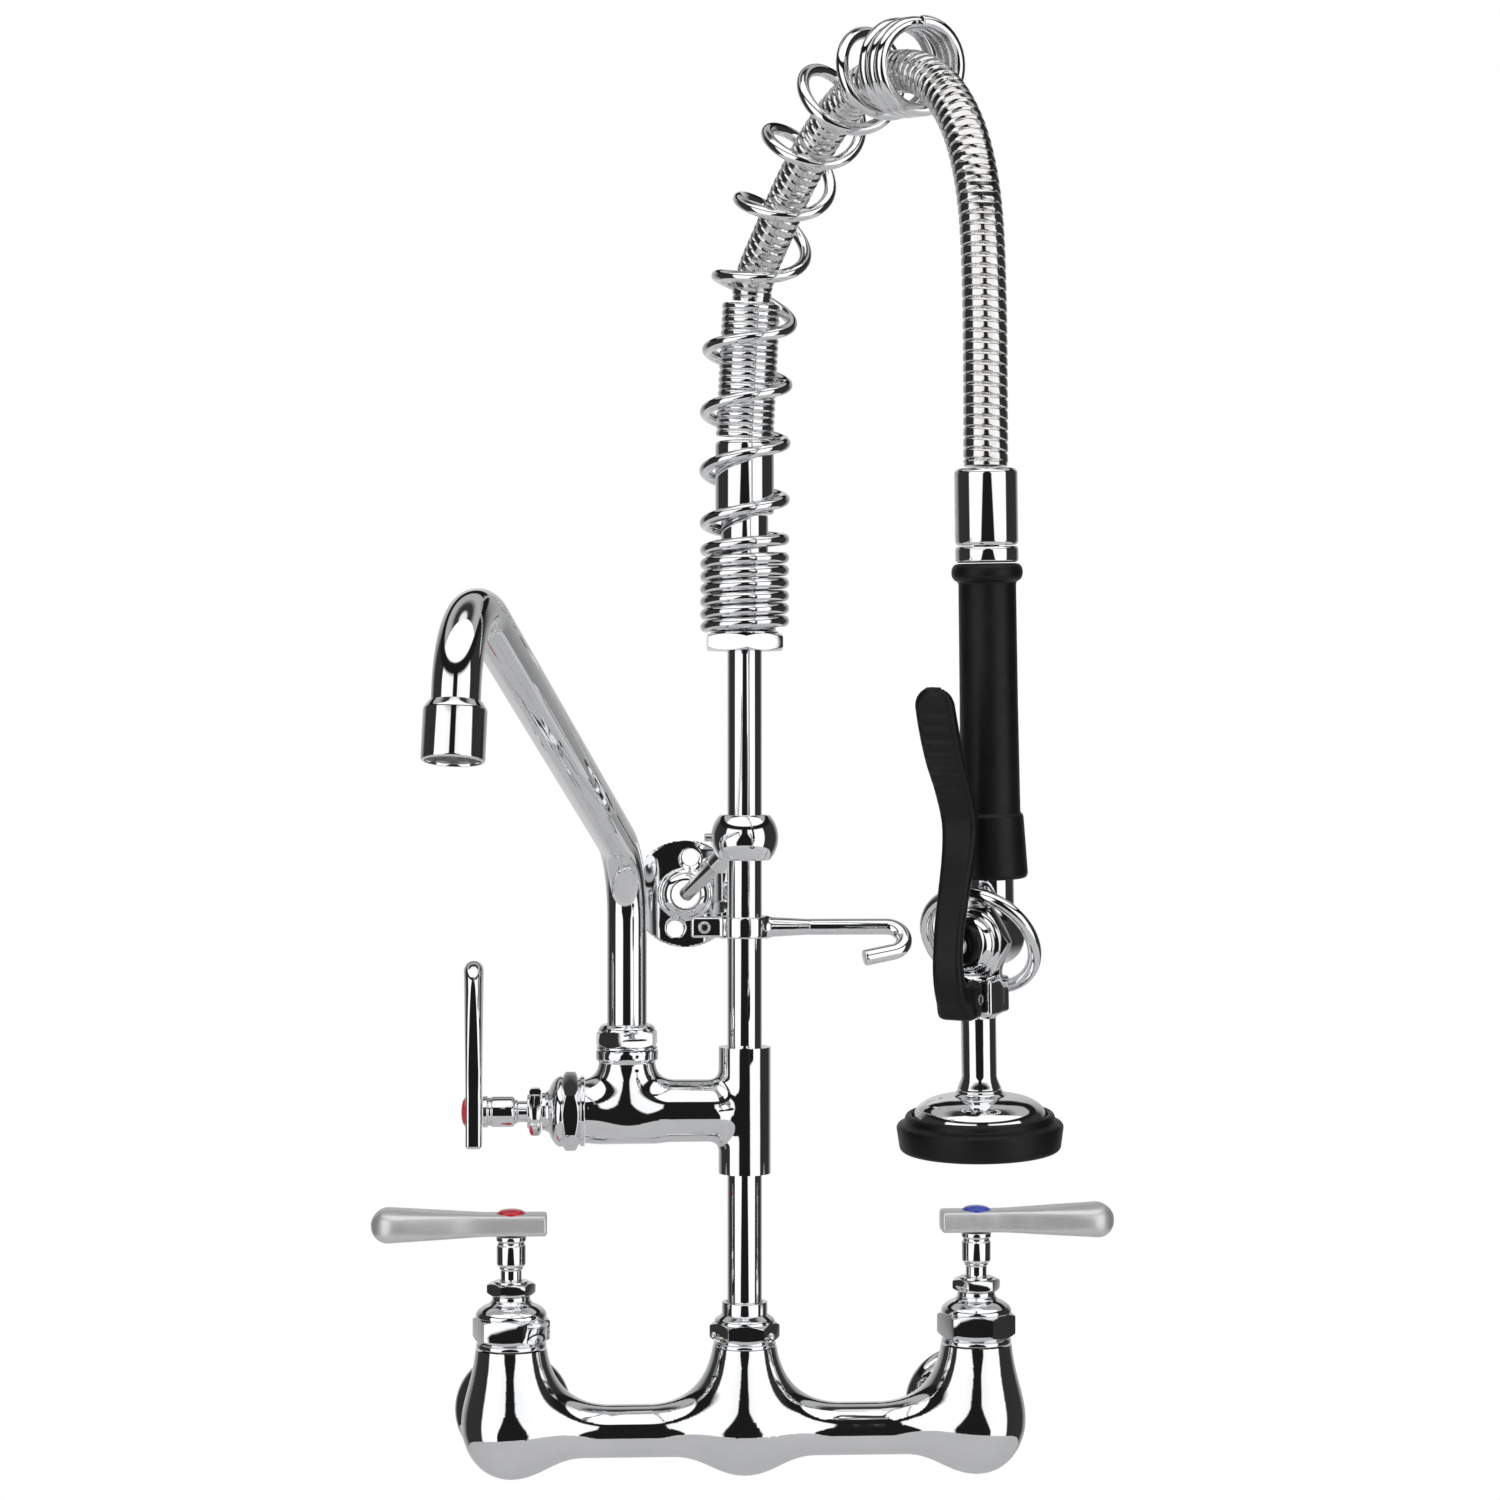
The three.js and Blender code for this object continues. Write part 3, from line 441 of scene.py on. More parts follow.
rubber = moulded("black_rubber", (0.005, 0.005, 0.0055), (0.009, 0.009, 0.0095), (0.36, 0.46), 1800, 0.00001,
                 specular=0.28)
black_plastic = moulded("black_plastic", (0.006, 0.006, 0.006), (0.011, 0.011, 0.011), (0.32, 0.42), 1500, 0.00001,
                        specular=0.3)
red_plastic = moulded("red_plastic", (0.62, 0.012, 0.03), (0.74, 0.02, 0.05), (0.2, 0.28), 900, 0.00001, coat=0.6)
blue_plastic = moulded("blue_plastic", (0.035, 0.06, 0.45), (0.05, 0.09, 0.58), (0.2, 0.28), 900, 0.00001, coat=0.6)


# ---------------------------------------------------------------- objects
def make(name, solid, material, stands_for=(), body="base", smooth=35, ride=True):
    points, faces = solid
    mesh = bpy.data.meshes.new(name)
    mesh.from_pydata((np.asarray(points) * 0.001).tolist(), [], faces)
    bm = bmesh.new()
    bm.from_mesh(mesh)
    bmesh.ops.remove_doubles(bm, verts=bm.verts[:], dist=1e-7)
    bmesh.ops.dissolve_degenerate(bm, dist=1e-7, edges=bm.edges[:])
    bmesh.ops.recalc_face_normals(bm, faces=bm.faces[:])
    bm.to_mesh(mesh)
    bm.free()
    mesh.shade_smooth()
    mesh.set_sharp_from_angle(angle=rad(smooth))
    mesh.materials.append(material)
    obj = bpy.data.objects.new(name, mesh)
    scene.collection.objects.link(obj)
    nodes = [stands_for] if isinstance(stands_for, str) else list(stands_for)
    if nodes:
        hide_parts(*nodes)
    if ride:
        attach(obj, body)
    return obj


# ---------------------------------------------------------------- hose and overhead spring
HOSE_ROUTE = [
    (6.3, 491.4), (7.2, 497), (10.6, 502.6), (15.2, 508), (20.9, 513.4), (28.6, 520.8), (41.7, 533.6),
    (53.5, 543.2), (66, 552), (82.6, 561.2), (99, 566.8), (115.8, 569.2), (132, 568.6), (148.3, 564.5),
    (162, 556.6), (173.4, 545.8), (181.2, 534.6), (187, 521.5), (190.8, 507.5), (192.9, 493), (194, 477),
    (194.7, 458), (195, 438), (195.2, 420), (195.2, 405.9),
]
SPRING_ROUTE = [
    (0, 345), (0, 375), (0, 405), (0.3, 430), (2.2, 460), (7, 487), (19, 512.5), (39.5, 537), (62, 555.5),
    (87, 566.5), (114, 571), (150, 567.5),
]


def in_arch(route, spacing):
    return placed((spline([(t, 0, z) for t, z in route], spacing), []), ARCH)[0]


ARCH_NORMAL = np.array(ARCH)[:3, 1]
hose_line = in_arch(HOSE_ROUTE, 0.41)
hose_length = line_length(hose_line)
# each turn of the strip overlaps the next: a flat band, a small step and a narrow groove
STRIP_PITCH = 4.1
STRIP_AT = [0, 0.1, 0.2, 0.78, 0.9, 0.96, 1.0]
STRIP_RADIUS = [7.75, 8.25, 8.52, 8.62, 8.5, 8.1, 7.75]
PLAIN_END_RADIUS = 8.3
HOSE_SIDES = 48
turns = np.linspace(0, hose_length, len(hose_line)) / STRIP_PITCH


def hose_solid():
    along = directions(hose_line)
    side = carried(ARCH_NORMAL, along)
    up = np.cross(along, side)
    angle = 2 * math.pi * np.arange(HOSE_SIDES) / HOSE_SIDES
    phase = (turns[:, None] + angle[None, :] / (2 * math.pi)) % 1.0
    r = np.interp(phase, STRIP_AT, STRIP_RADIUS)
    edge = np.minimum(turns, turns[-1] - turns)[:, None]
    r = np.where(edge < 0.4, PLAIN_END_RADIUS, r)
    rings = hose_line[:, None] + r[..., None] * (
        np.cos(angle)[None, :, None] * side[:, None] + np.sin(angle)[None, :, None] * up[:, None])
    return skin(list(rings))


hose = make("hose_piece", hose_solid(), hose_steel, "hose", ride=False, smooth=50)
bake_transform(hose)


# the pitch of each turn: closed coils on the nut, open coils, closed coils at the far end
TURN_PITCHES = [5.5] * 6 + [11, 24.4, 25.3, 26, 30, 35, 33, 32.5, 34, 18] + [5.5] * 3


def spring_line():
    line = spline([(t, 0, z) for t, z in SPRING_ROUTE], 0.25)
    length = line_length(line)
    place = np.linspace(0, length, len(line))
    per_turn = 44
    middles = np.arange(len(TURN_PITCHES)) + 0.5
    s, out = 5.1, []
    for step in range(len(TURN_PITCHES) * per_turn + 1):
        if s >= length:
            break
        centre = np.array([np.interp(s, place, line[:, k]) for k in range(3)])
        ahead = np.array([np.interp(s + 1.5, place, line[:, k]) for k in range(3)])
        behind = np.array([np.interp(s - 1.5, place, line[:, k]) for k in range(3)])
        along = (ahead - behind) / np.linalg.norm(ahead - behind)
        outward = np.array([along[2], 0, -along[0]])
        angle = rad(245) + 2 * math.pi * step / per_turn
        radius = np.interp(step / per_turn, [6, 10, 15, 17], [16.9, 17.6, 17.6, 17.1])
        out.append(centre + radius * (math.cos(angle) * outward + math.sin(angle) * np.array([0, 1, 0])))
        s += np.interp(step / per_turn, middles, TURN_PITCHES) / per_turn
    return placed((np.array(out), []), ARCH)[0]


spring = make("overhead_spring_piece", sweep(spring_line(), 2.6, 16, (0, 0, 1), tip=0.7), chrome,
              "overhead_spring", ride=False, smooth=60)
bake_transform(spring)


# ---------------------------------------------------------------- mixing body and inlets
def body_field(p):
    tube = capsule(p, (-HALF, 0, 0), (HALF, 0, 0), 11.4)
    middle = capsule(p, (0, 0, 0), (0, 0, 50), 19.2, 12.0)
    left = capsule(p, (-HALF, 0, 0), (-HALF, 0, 50), 19.8, 13.9)
    right = capsule(p, (HALF, 0, 0), (HALF, 0, 50), 19.8, 13.9)
    stubs = np.minimum(cylinder(p, (-HALF, 0, 0), (-HALF, 21, 0), 14.2, 0.8),
                       cylinder(p, (HALF, 0, 0), (HALF, 21, 0), 14.2, 0.8))
    towers = np.minimum(np.minimum(left, right), middle)
    # the fillets are wide above the tube and tighter below it
    k = 13 + 13 / (1 + np.exp(-p[:, 2] / 4))
    whole = smooth_min(tube, towers, k)
    return smooth_min(whole, stubs, 4)


body = sliced(cast(body_field, (-124, -23, -22), (124, 24, 46), 1.15), ((0, 0, BODY_TOP), (0, 0, 1)))
make("mixing_body_piece", placed(body, STAND), cast_chrome, "mixing_body", smooth=45)

for name, side in (("left", -1), ("right", 1)):
    inlet = STAND @ move(side * HALF) @ turn(-90, "X")
    make(f"{name}_inlet_nipple_piece", placed(ring(
        [(7.5, 12.6), (10.6, 12.6), (10.6, 50), (7.5, 50)], 0.3), inlet), brass,
        f"{name}_inlet_nipple")
    make(f"{name}_inlet_nut_piece", placed(merged(
        hexagon(17.2, 21.2, 32.6, 1.5, 10.8),
        ring([(10.8, 32), (14.2, 32), (14.2, 33.5), (10.8, 33.5)], 0.4)), inlet), chrome,
        f"{name}_inlet_nut")
    make(f"{name}_wall_flange_piece", placed(ring([
        (11, 50), (11, 37), (14.5, 37, 0.8), (16.2, 38, 1.5), (19, 40.8, 3), (22.5, 43.4, 3), (25.2, 46.4, 1.5),
        (26, 48.6, 0.6), (26, 50, 0.3)], 0.5, 96), inlet), chrome, f"{name}_wall_flange")


# ---------------------------------------------------------------- quarter-turn valves
def lever_solid(length, heel, hub_width, tip_width, thick, tip_thick):
    """A paddle: square heel, narrow waist, wide round tip, and edges rounded all round."""
    heel_x, rings = -heel, []
    stations = np.concatenate([
        heel_x + np.array([0, 0.15, 0.5, 1.1, 1.6]), np.linspace(heel_x + 3, length - tip_width / 2, 34),
        length - tip_width / 2 + tip_width / 2 * np.sin(np.linspace(0.1, 1.0, 16) * math.pi / 2),
    ])
    for x in stations:
        t = np.clip((x - 6) / (length - tip_width * 0.62 - 6), 0, 1)
        width = hub_width + (tip_width - hub_width) * (t ** 1.55 * (1.9 - 0.9 * t))
        width -= 1.1 * math.sin(math.pi * min(t / 0.45, 1)) if t < 0.45 else 0
        beyond = x - (length - tip_width / 2)
        if beyond > 0:
            width *= math.sqrt(max(1 - (beyond / (tip_width / 2)) ** 2, 0))
        depth = thick + (tip_thick - thick) * np.clip((x - 10) / (length - 10 - tip_thick / 2), 0, 1) ** 1.2
        end = x - (length - tip_thick / 2)
        if end > 0:
            depth *= math.sqrt(max(1 - (end / (tip_thick / 2)) ** 2, 0))
        back = x - heel_x
        if back < 1.2:
            inset = 1.2 - math.sqrt(max(1.44 - (1.2 - back) ** 2, 0))
            width, depth = width - 2 * inset, depth - 2 * inset
        power = 5.5 - 2.6 * np.clip((x - 12) / (length - 25), 0, 1)
        angle = 2 * math.pi * (np.arange(56) + 0.5) / 56
        c, s = np.cos(angle), np.sin(angle)
        y = np.sign(c) * np.abs(c) ** (2 / power) * max(width, 0.02) / 2
        z = np.sign(s) * np.abs(s) ** (2 / power) * max(depth, 0.02) / 2
        rings.append(np.stack([np.full(56, x), y, z], 1))
    return skin(rings)


def valve(base, label, body_name, d, button, finish):
    """One quarter-turn valve, drawn along +Z from the face that it screws into."""
    h, nut_foot = d["hex"], d["nut0"] - 0.4
    bonnet = merged(
        ring([(9, 0.2), (15.2, 0.2), (15.2, 1.9), (14.2, 2.5), (14.2, 3.2), (9, 3.2)], 0.35),
        hexagon(d["corner"], 2.7, 2.7 + h, 1.6, 8, rad(d["phase"]), 12),
        turned([(0, 2.4 + h), (15.3, 2.4 + h), (15.4, 3.9 + h, 1.4), (14.4, 5.6 + h, 2.2), (11.8, 7.4 + h, 2),
                (9.2, 8.4 + h, 1.2), (8.6, 9.7 + h, 0.8), (8.2, 10 + h, 0.4), (8.2, nut_foot, 0.3),
                (0, nut_foot)], 0.5),
    )
    make(f"{label}_bonnet_piece", placed(bonnet, base), chrome, f"{label}_bonnet")
    nut_top = d["nut1"]
    nut = merged(
        hexagon(10.7, d["nut0"], nut_top, 1.0, 4.9, rad(d["phase"]) + 0.3, 10),
        ring([(4.9, nut_top - 0.3), (7.4, nut_top - 0.3), (7.4, nut_top + 0.8), (4.9, nut_top + 0.8)], 0.3),
    )
    make(f"{label}_packing_nut_piece", placed(nut, base), chrome, f"{label}_packing_nut")
    foot, hub, head = d["hub0"], d["hub"], d["lever0"]
    stem = turned([
        (0, -11), (2.95, -11), (2.95, 0.6), (4.55, 0.9), (4.55, foot - 1.6), (5.2, foot - 1.2, 0.2),
        (5.2, foot - 0.4, 0.2), (hub - 0.5, foot), (hub, foot + 0.8, 0.4), (hub, head - 4.4, 0.3),
        (hub - 0.5, head - 3.9, 0.3), (hub - 0.5, head - 2.7, 0.3), (hub + 0.2, head - 2.2, 0.3),
        (hub + 0.2, head - 0.3, 0.3), (0, head - 0.3)], 0.4)
    make(f"{label}_stem_piece", placed(stem, base), chrome, f"{label}_stem", body_name)
    top = d["thick"] / 2
    arm = base @ move(z=head + top) @ turn(d["turn"], "Z")
    make(f"{label}_lever_piece", placed(lever_solid(
        d["length"], 15.5, 14, d["tip_width"], d["thick"], d["tip_thick"]), arm), finish,
        f"{label}_lever", body_name, smooth=60)
    index = merged(
        turned([(0, top - 2), (5.7, top - 2), (5.7, top + 0.5, 0.3), (5, top + 1.15, 0.8), (2.6, top + 1.75, 1.6),
                (0, top + 1.9)], 0.4),
        ring([(5.75, top - 1), (6.3, top - 1), (6.3, top + 0.35), (5.75, top + 0.35)], 0.2),
    )
    make(f"{label}_index_piece", placed(index, arm), button,
         f"{label}_index", body_name)


SIDE = {"corner": 17.3, "hex": 10.8, "nut0": 22.9, "nut1": 28.1, "hub0": 35.4, "hub": 6.3, "lever0": 48.6,
        "thick": 9.6, "tip_thick": 15, "length": 60.7, "tip_width": 22, "phase": -12}
valve(STAND @ move(-HALF, 0, 37), "hot", "hot_handle", {**SIDE, "turn": 180}, red_plastic, satin)
valve(STAND @ move(HALF, 0, 37), "cold", "cold_handle", {**SIDE, "turn": 0}, blue_plastic, satin)
ADDON = {"corner": 17.3, "hex": 7.2, "nut0": 19, "nut1": 24.2, "hub0": 30.7, "hub": 6.6, "lever0": 44.6,
         "thick": 7.2, "tip_thick": 8.6, "length": 65.7, "tip_width": 21, "phase": 0, "turn": 0}
valve(STAND @ move(ADDON_X, 0, ADDON_Z) @ turn(-90, "Y"), "addon", "addon_handle", ADDON, red_plastic, chrome)


# ---------------------------------------------------------------- riser
make("riser_nut_piece", placed(merged(
    ring([(7.9, 36.7), (13.6, 36.7), (13.6, 38.2), (12.8, 38.6), (12.8, 39.4), (7.9, 39.4)], 0.35),
    hexagon(15.4, 39, 47.2, 1.6, 7.9, 0, 10),
    ring([(7.9, 46.6), (13.2, 46.6), (13, 48.4, 1.2), (10.6, 50, 1), (9.9, 50.6, 0.3), (9.9, 56), (7.9, 56)], 0.5),
), STAND), chrome, "riser_nut")
make("lower_riser_piece", placed(ring([(5.4, 15), (7.5, 15), (7.5, 138.8), (5.4, 138.8)], 0.3, 96), STAND),
     chrome, "lower_riser")
make("upper_riser_piece", placed(ring([(5.4, 139.4), (7.5, 139.4), (7.5, 372), (5.4, 372)], 0.3, 96), STAND),
     chrome, "upper_riser")


# ---------------------------------------------------------------- add-on faucet
def addon_field(p):
    sleeve = cylinder(p, (0, 0, 100), (0, 0, 180), 11.35)
    barrel = capsule(p, (-90, 0, ADDON_Z), (-14, 0, ADDON_Z), 13.9, 13.5)
    neck = cylinder(p, (SPOUT_X, 0, 130), (SPOUT_X, 0, 162.5), 12.2, 0.8)
    lip = cylinder(p, (SPOUT_X, 0, 161.6), (SPOUT_X, 0, 166.2), 13.5, 0.7)
    whole = smooth_min(barrel, neck, 9)
    whole = smooth_min(whole, lip, 1.2)
    return smooth_min(whole, sleeve, 5)


addon = sliced(cast(addon_field, (-93, -18, 98), (15, 18, 182), 0.9),
               ((0, 0, 167), (0, 0, 1)), ((0, 0, 112), (0, 0, -1)), ((ADDON_X, 0, 0), (-1, 0, 0)))
make("addon_body_piece", placed(addon, STAND), cast_chrome, "addon_body", smooth=45)
make("spout_nut_piece", placed(merged(
    ring([(8.9, 166.5), (13.2, 166.5), (13.2, 167.6), (8.9, 167.6)], 0.3),
    hexagon(14.2, 167.4, 174.8, 1.4, 8.9, rad(20), 10),
    ring([(8.9, 174.2), (12.4, 174.2), (12.1, 175.8, 0.9), (10.6, 177.1, 0.6), (8.9, 177.3)], 0.4),
), STAND @ move(SPOUT_X)), chrome, "spout_nut")


# ---------------------------------------------------------------- swing spout
def arc(t, z, r, start, end, steps):
    a = np.linspace(start, end, steps + 1)
    return np.stack([t + r * np.cos(a), np.zeros_like(a), z + r * np.sin(a)], 1)


def spout_line():
    rise, lean, bend_r, arch_r, reach, drop = rad(20.3), rad(SPOUT_LEAN), 38, 32, 301, 11.5
    bend = arc(bend_r, 223, bend_r, math.pi, math.pi / 2 + rise, 24)
    tip_t = reach - drop * math.sin(lean)
    arch_t = tip_t - arch_r * math.cos(lean)
    climb = arch_t - arch_r * math.sin(rise) - bend[-1, 0]
    arch_z = bend[-1, 2] + climb * math.tan(rise) - arch_r * math.cos(rise)
    over = arc(arch_t, arch_z, arch_r, math.pi / 2 + rise, lean, 36)
    tip = over[-1] + drop * np.array([math.sin(lean), 0, -math.cos(lean)])
    foot = np.linspace((0, 0, 153.5), bend[0], 12)[:-1]
    run = np.linspace(bend[-1], over[0], 30)[1:-1]
    outlet = np.linspace(over[-1], tip, 6)[1:]
    return np.vstack([foot, bend, run, over, outlet])


spout_points = spout_line()
make("spout_tube_piece", placed(sweep(spout_points, 8.6, 72), SPOUT), chrome, "spout_tube", "spout")
AERATOR = SPOUT @ move(*spout_points[-1]) @ turn(-SPOUT_LEAN, "Y")
make("aerator_shell_piece", placed(ring([
    (9, -0.2), (9, 5), (9.3, 5.4, 0.2), (11.1, 2.6, 0.6), (11.1, -14.8, 0.4), (10.6, -15.5, 0.5),
    (9.9, -15.5, 0.2), (9.7, -14.6, 0.3), (9.7, -0.6)], 0.3, 96), AERATOR), chrome, "aerator_shell", "spout")


def grille():
    """Crossed wires in a thin rim, over a dark disc."""
    parts = [ring([(8.4, -14.2), (9.5, -14.2), (9.5, -12), (8.4, -12)], 0.2),
             turned([(0, -12.6), (8.6, -12.6), (8.6, -1), (0, -1)], 0.1)]
    for k in np.arange(-7.8, 7.9, 1.3):
        half = math.sqrt(max(8.6 ** 2 - k * k, 0.5))
        for cross in (False, True):
            z = -13.7 if cross else -13.3
            ends = [(k, -half, z), (k, half, z)] if cross else [(-half, k, z), (half, k, z)]
            parts.append(sweep(ends, 0.22, 6, (0, 0, 1)))
    return merged(*parts)


make("aerator_screen_piece", placed(grille(), AERATOR), dark_steel, "aerator_screen", "spout")


# ---------------------------------------------------------------- wall bracket
BALL = STAND @ move(z=BALL_Z)
reach = Vector((BRACKET_X, WALL_TO_RISER - ROD_OFF_WALL, BRACKET_Z - BALL_Z))
ROD = BALL @ Vector((0, 0, 1)).rotation_difference(reach.normalized()).to_matrix().to_4x4()
ball_arc = [(14.7 * math.cos(rad(a)), 14.7 * math.sin(rad(a)), 0) for a in range(-40, 41, 4)]
make("bracket_ball_piece", merged(
    placed(ring([(7.8, -9.9), (10.6, -9.9, 0.4)] + ball_arc + [(10.6, 9.9, 0.4), (7.8, 9.9)], 0.3, 96), BALL),
    placed(turned([(0, 11), (5.6, 11), (5.4, 14, 1), (5.3, 24.6, 0.5), (0, 24.9)], 0.5, 48), ROD),
), chrome, "bracket_ball")
SET_SCREW = BALL @ turn(-90, "Y")
make("bracket_set_screw_piece", placed(ring([
    (0.9, 13.4), (1.75, 13.4), (1.75, 17.2), (1.5, 17.5), (0.9, 17.5)], 0.15, 32), SET_SCREW), steel,
    "bracket_set_screw")
make("bracket_rod_piece", placed(turned([
    (0, 19.8), (3.25, 19.8), (3.25, reach.length), (0, reach.length)], 0.3, 48), ROD), steel, "bracket_rod")
FLANGE = STAND @ move(BRACKET_X, WALL_TO_RISER, BRACKET_Z) @ turn(90, "X")


def flange_field(p):
    """A round plate with a rolled rim, a raised boss and two countersunk screw holes."""
    r = np.hypot(p[:, 0], p[:, 1])
    disc = cylinder(p, (0, 0, -4), (0, 0, 3.3), 24.2, 1.7)
    dome = np.linalg.norm(p - np.array((0, 0, -128.0)), axis=1) - 131.3
    plate = np.maximum(np.maximum(disc, dome), -p[:, 2])
    boss = np.maximum(cylinder(p, (0, 0, -2), (0, 0, 5.3), 11.3, 0.7), -p[:, 2])
    whole = smooth_min(plate, boss, 0.8)
    for a in (82, 254):
        q = np.hypot(p[:, 0] - 16.6 * math.cos(rad(a)), p[:, 1] - 16.6 * math.sin(rad(a)))
        sink = (q - 3.8 - np.maximum(p[:, 2] - 1.4, 0) * 1.15) * 0.8
        whole = -smooth_min(-whole, sink, 0.4)
    return np.maximum(whole, 6.4 - r)


make("bracket_flange_piece", placed(cast(flange_field, (-26, -26, -1.2), (26, 26, 6.6), 0.6), FLANGE), chrome,
     "bracket_flange", smooth=38)
make("bracket_nut_piece", placed(ring([
    (6.4, 5.7), (10.1, 5.7), (10.1, 7.1, 0.2), (9.7, 7.3, 0.2), (9.7, 7.7, 0.2), (9.3, 8.4, 0.6), (8.4, 9.2, 0.6),
    (7.2, 9.8, 0.4), (6.4, 9.9)], 0.4), FLANGE), chrome, "bracket_nut")


# ---------------------------------------------------------------- finger hook
HOOK = STAND @ move(z=HOOK_Z)


def hook_field(p):
    band = cylinder(p, (0, 0, -4.6), (0, 0, 4.6), 10.0, 0.6)
    ear = block(p, (-15.6, 0, 0), (15.6, 5.0, 9.0), 1.2)
    whole = smooth_min(band, ear, 2.0)
    strap = capsule(p, (9, 0, 0), (28, 0, 0), 4.5, 3.4)
    whole = smooth_min(whole, strap, 2.5)
    slot = block(p, (-18.5, 0, 0), (15, 1.4, 14), 0.3)
    return np.maximum(whole, -slot)


def hook_solid():
    bend = arc(61.8, -7.5, 7.5, math.pi / 2, rad(-75), 40)
    heading = np.array([-math.sin(rad(75)), 0, -math.cos(rad(75))])
    leg = np.linspace((28, 0, 0), bend[0], 20)[:-1]
    tail = np.array([bend[-1] + heading * d for d in np.linspace(0, 13, 8)[1:]])
    finger = placed(sweep(np.vstack([leg, bend, tail]), 3.5, 40, tip=0.5), turn(-45, "X"))
    return merged(cast(hook_field, (-26, -13, -7), (34, 13, 7), 0.55), finger)


make("hook_piece", placed(hook_solid(), HOOK), chrome, "hook", smooth=45)
make("hook_screw_piece", placed(turned([
    (0, -4.4), (2.9, -4.4), (2.9, -3.2, 0.5), (1.6, -2.9), (1.6, 2.6), (2.7, 2.7), (2.7, 4.0, 0.6),
    (1.9, 4.55, 0.3), (1.6, 4.1, 0.2), (0, 4.1)], 0.3, 40),
    HOOK @ move(-17.7) @ turn(90, "X")), steel, "hook_screw")


# ---------------------------------------------------------------- spring nut, nipple, ferrule and sleeve
make("spring_nut_piece", placed(merged(
    hexagon(18.8, 339.7, 347.2, 1.5, 7.9, rad(30), 12),
    ring([(7.9, 346.8), (14.9, 346.8), (14.9, 347.9), (13.6, 348.6, 0.4), (13.6, 359.2), (12.8, 360),
          (7.9, 360)], 0.4),
), STAND), chrome, "spring_nut")
make("hose_nipple_piece", placed(ring([
    (7.9, 364), (9.2, 364), (10.3, 365.6), (10.3, 398.6), (7.9, 398.6)], 0.6), STAND), chrome, "hose_nipple")
make("hose_ferrule_piece", placed(ring([
    (5, 399.2), (12.1, 399.2), (12.8, 400.2), (12.8, 429.6), (12.1, 431), (5, 431)], 0.7, 96), STAND), chrome,
    "hose_ferrule")


def sleeve_solid():
    """Rounded ribs on a tube that leans toward the hose."""
    top, foot = np.array((6.3, 0, 491.4)), np.array((0, 0, 432.7))
    length = np.linalg.norm(top - foot) - 1
    ribs = 20
    profile = [(5.2, 0), (11.9, 0)]
    for k in range(ribs):
        z = (k + 0.5) * length / ribs
        half = length / ribs / 2
        for a in np.linspace(-1, 1, 8):
            profile.append((11.75 + 0.95 * math.sqrt(max(1 - (a * 0.93) ** 2, 0)), z + a * half * 0.96))
    profile += [(11.9, length), (5.2, length)]
    lean = math.atan2(top[0], top[2] - foot[2])
    local = ARCH @ move(*foot) @ Matrix.Rotation(lean, 4, "Y")
    return placed(lathe(np.array(profile), 72, loop=True), local)


make("hose_sleeve_piece", sleeve_solid(), chrome, "hose_sleeve", smooth=50)


# ---------------------------------------------------------------- spray valve
make("hose_coupling_piece", placed(ring([
    (4, -0.4), (10.4, -0.4), (12.1, -1.6, 0.9), (12.1, -28.8, 0.7), (11.3, -29.9, 0.4), (5.3, -29.9)],
    0.5, 96), SPRAY), chrome, "hose_coupling", "hose_end")
make("swivel_nut_piece", placed(turned([
    (0, -18.8), (4.7, -18.8), (4.7, -30.3), (11.4, -30.3), (12.1, -31.2, 0.5), (12.1, -35.8, 0.5), (11.4, -36.5),
    (0, -36.5)], 0.4, 96), SPRAY), chrome, "swivel_nut", "spray")
make("grip_piece", placed(ring([
    (9, -36.9), (11.4, -36.9, 0.5), (12.6, -37.3, 0.6), (13.5, -38.6, 0.8), (13.75, -40.3, 0.8),
    (13.5, -42.0, 0.8), (12.6, -43.3, 0.6), (11.4, -43.9, 0.4), (11.05, -44.8, 0.6), (11.2, -90, 6),
    (11.6, -132.6, 1), (12.7, -133.6, 0.8), (12.9, -136, 1), (14.2, -156.4, 1), (13.4, -157.8, 0.6),
    (9, -157.8)], 0.6, 96), SPRAY), rubber, "grip", "spray")


def valve_field(p):
    barrel = cylinder(p, (-9, 0, VALVE_W), (12.8, 0, VALVE_W), 11.4, 4.6)
    inlet = capsule(p, (0, 0, -150), (0, 0, -174), 8.7)
    neck = capsule(p, (12.6, 0, -181), (NECK_U, 0, -204), 9.4, 9.2)
    boss = block(p, (NECK_U, 0, PIVOT_W), (17, 19, 14), 1.3)
    lug = block(p, (24, 0, PIVOT_W), (9.6, 6.6, 10.6), 2.2)
    whole = smooth_min(barrel, inlet, 3.5)
    whole = smooth_min(whole, neck, 4)
    whole = smooth_min(whole, boss, 1.5)
    whole = smooth_min(whole, lug, 1.5)
    front = cylinder(p, (12.8, 0, VALVE_W), (32, 0, VALVE_W), 15.7)
    return np.maximum(whole, -front)


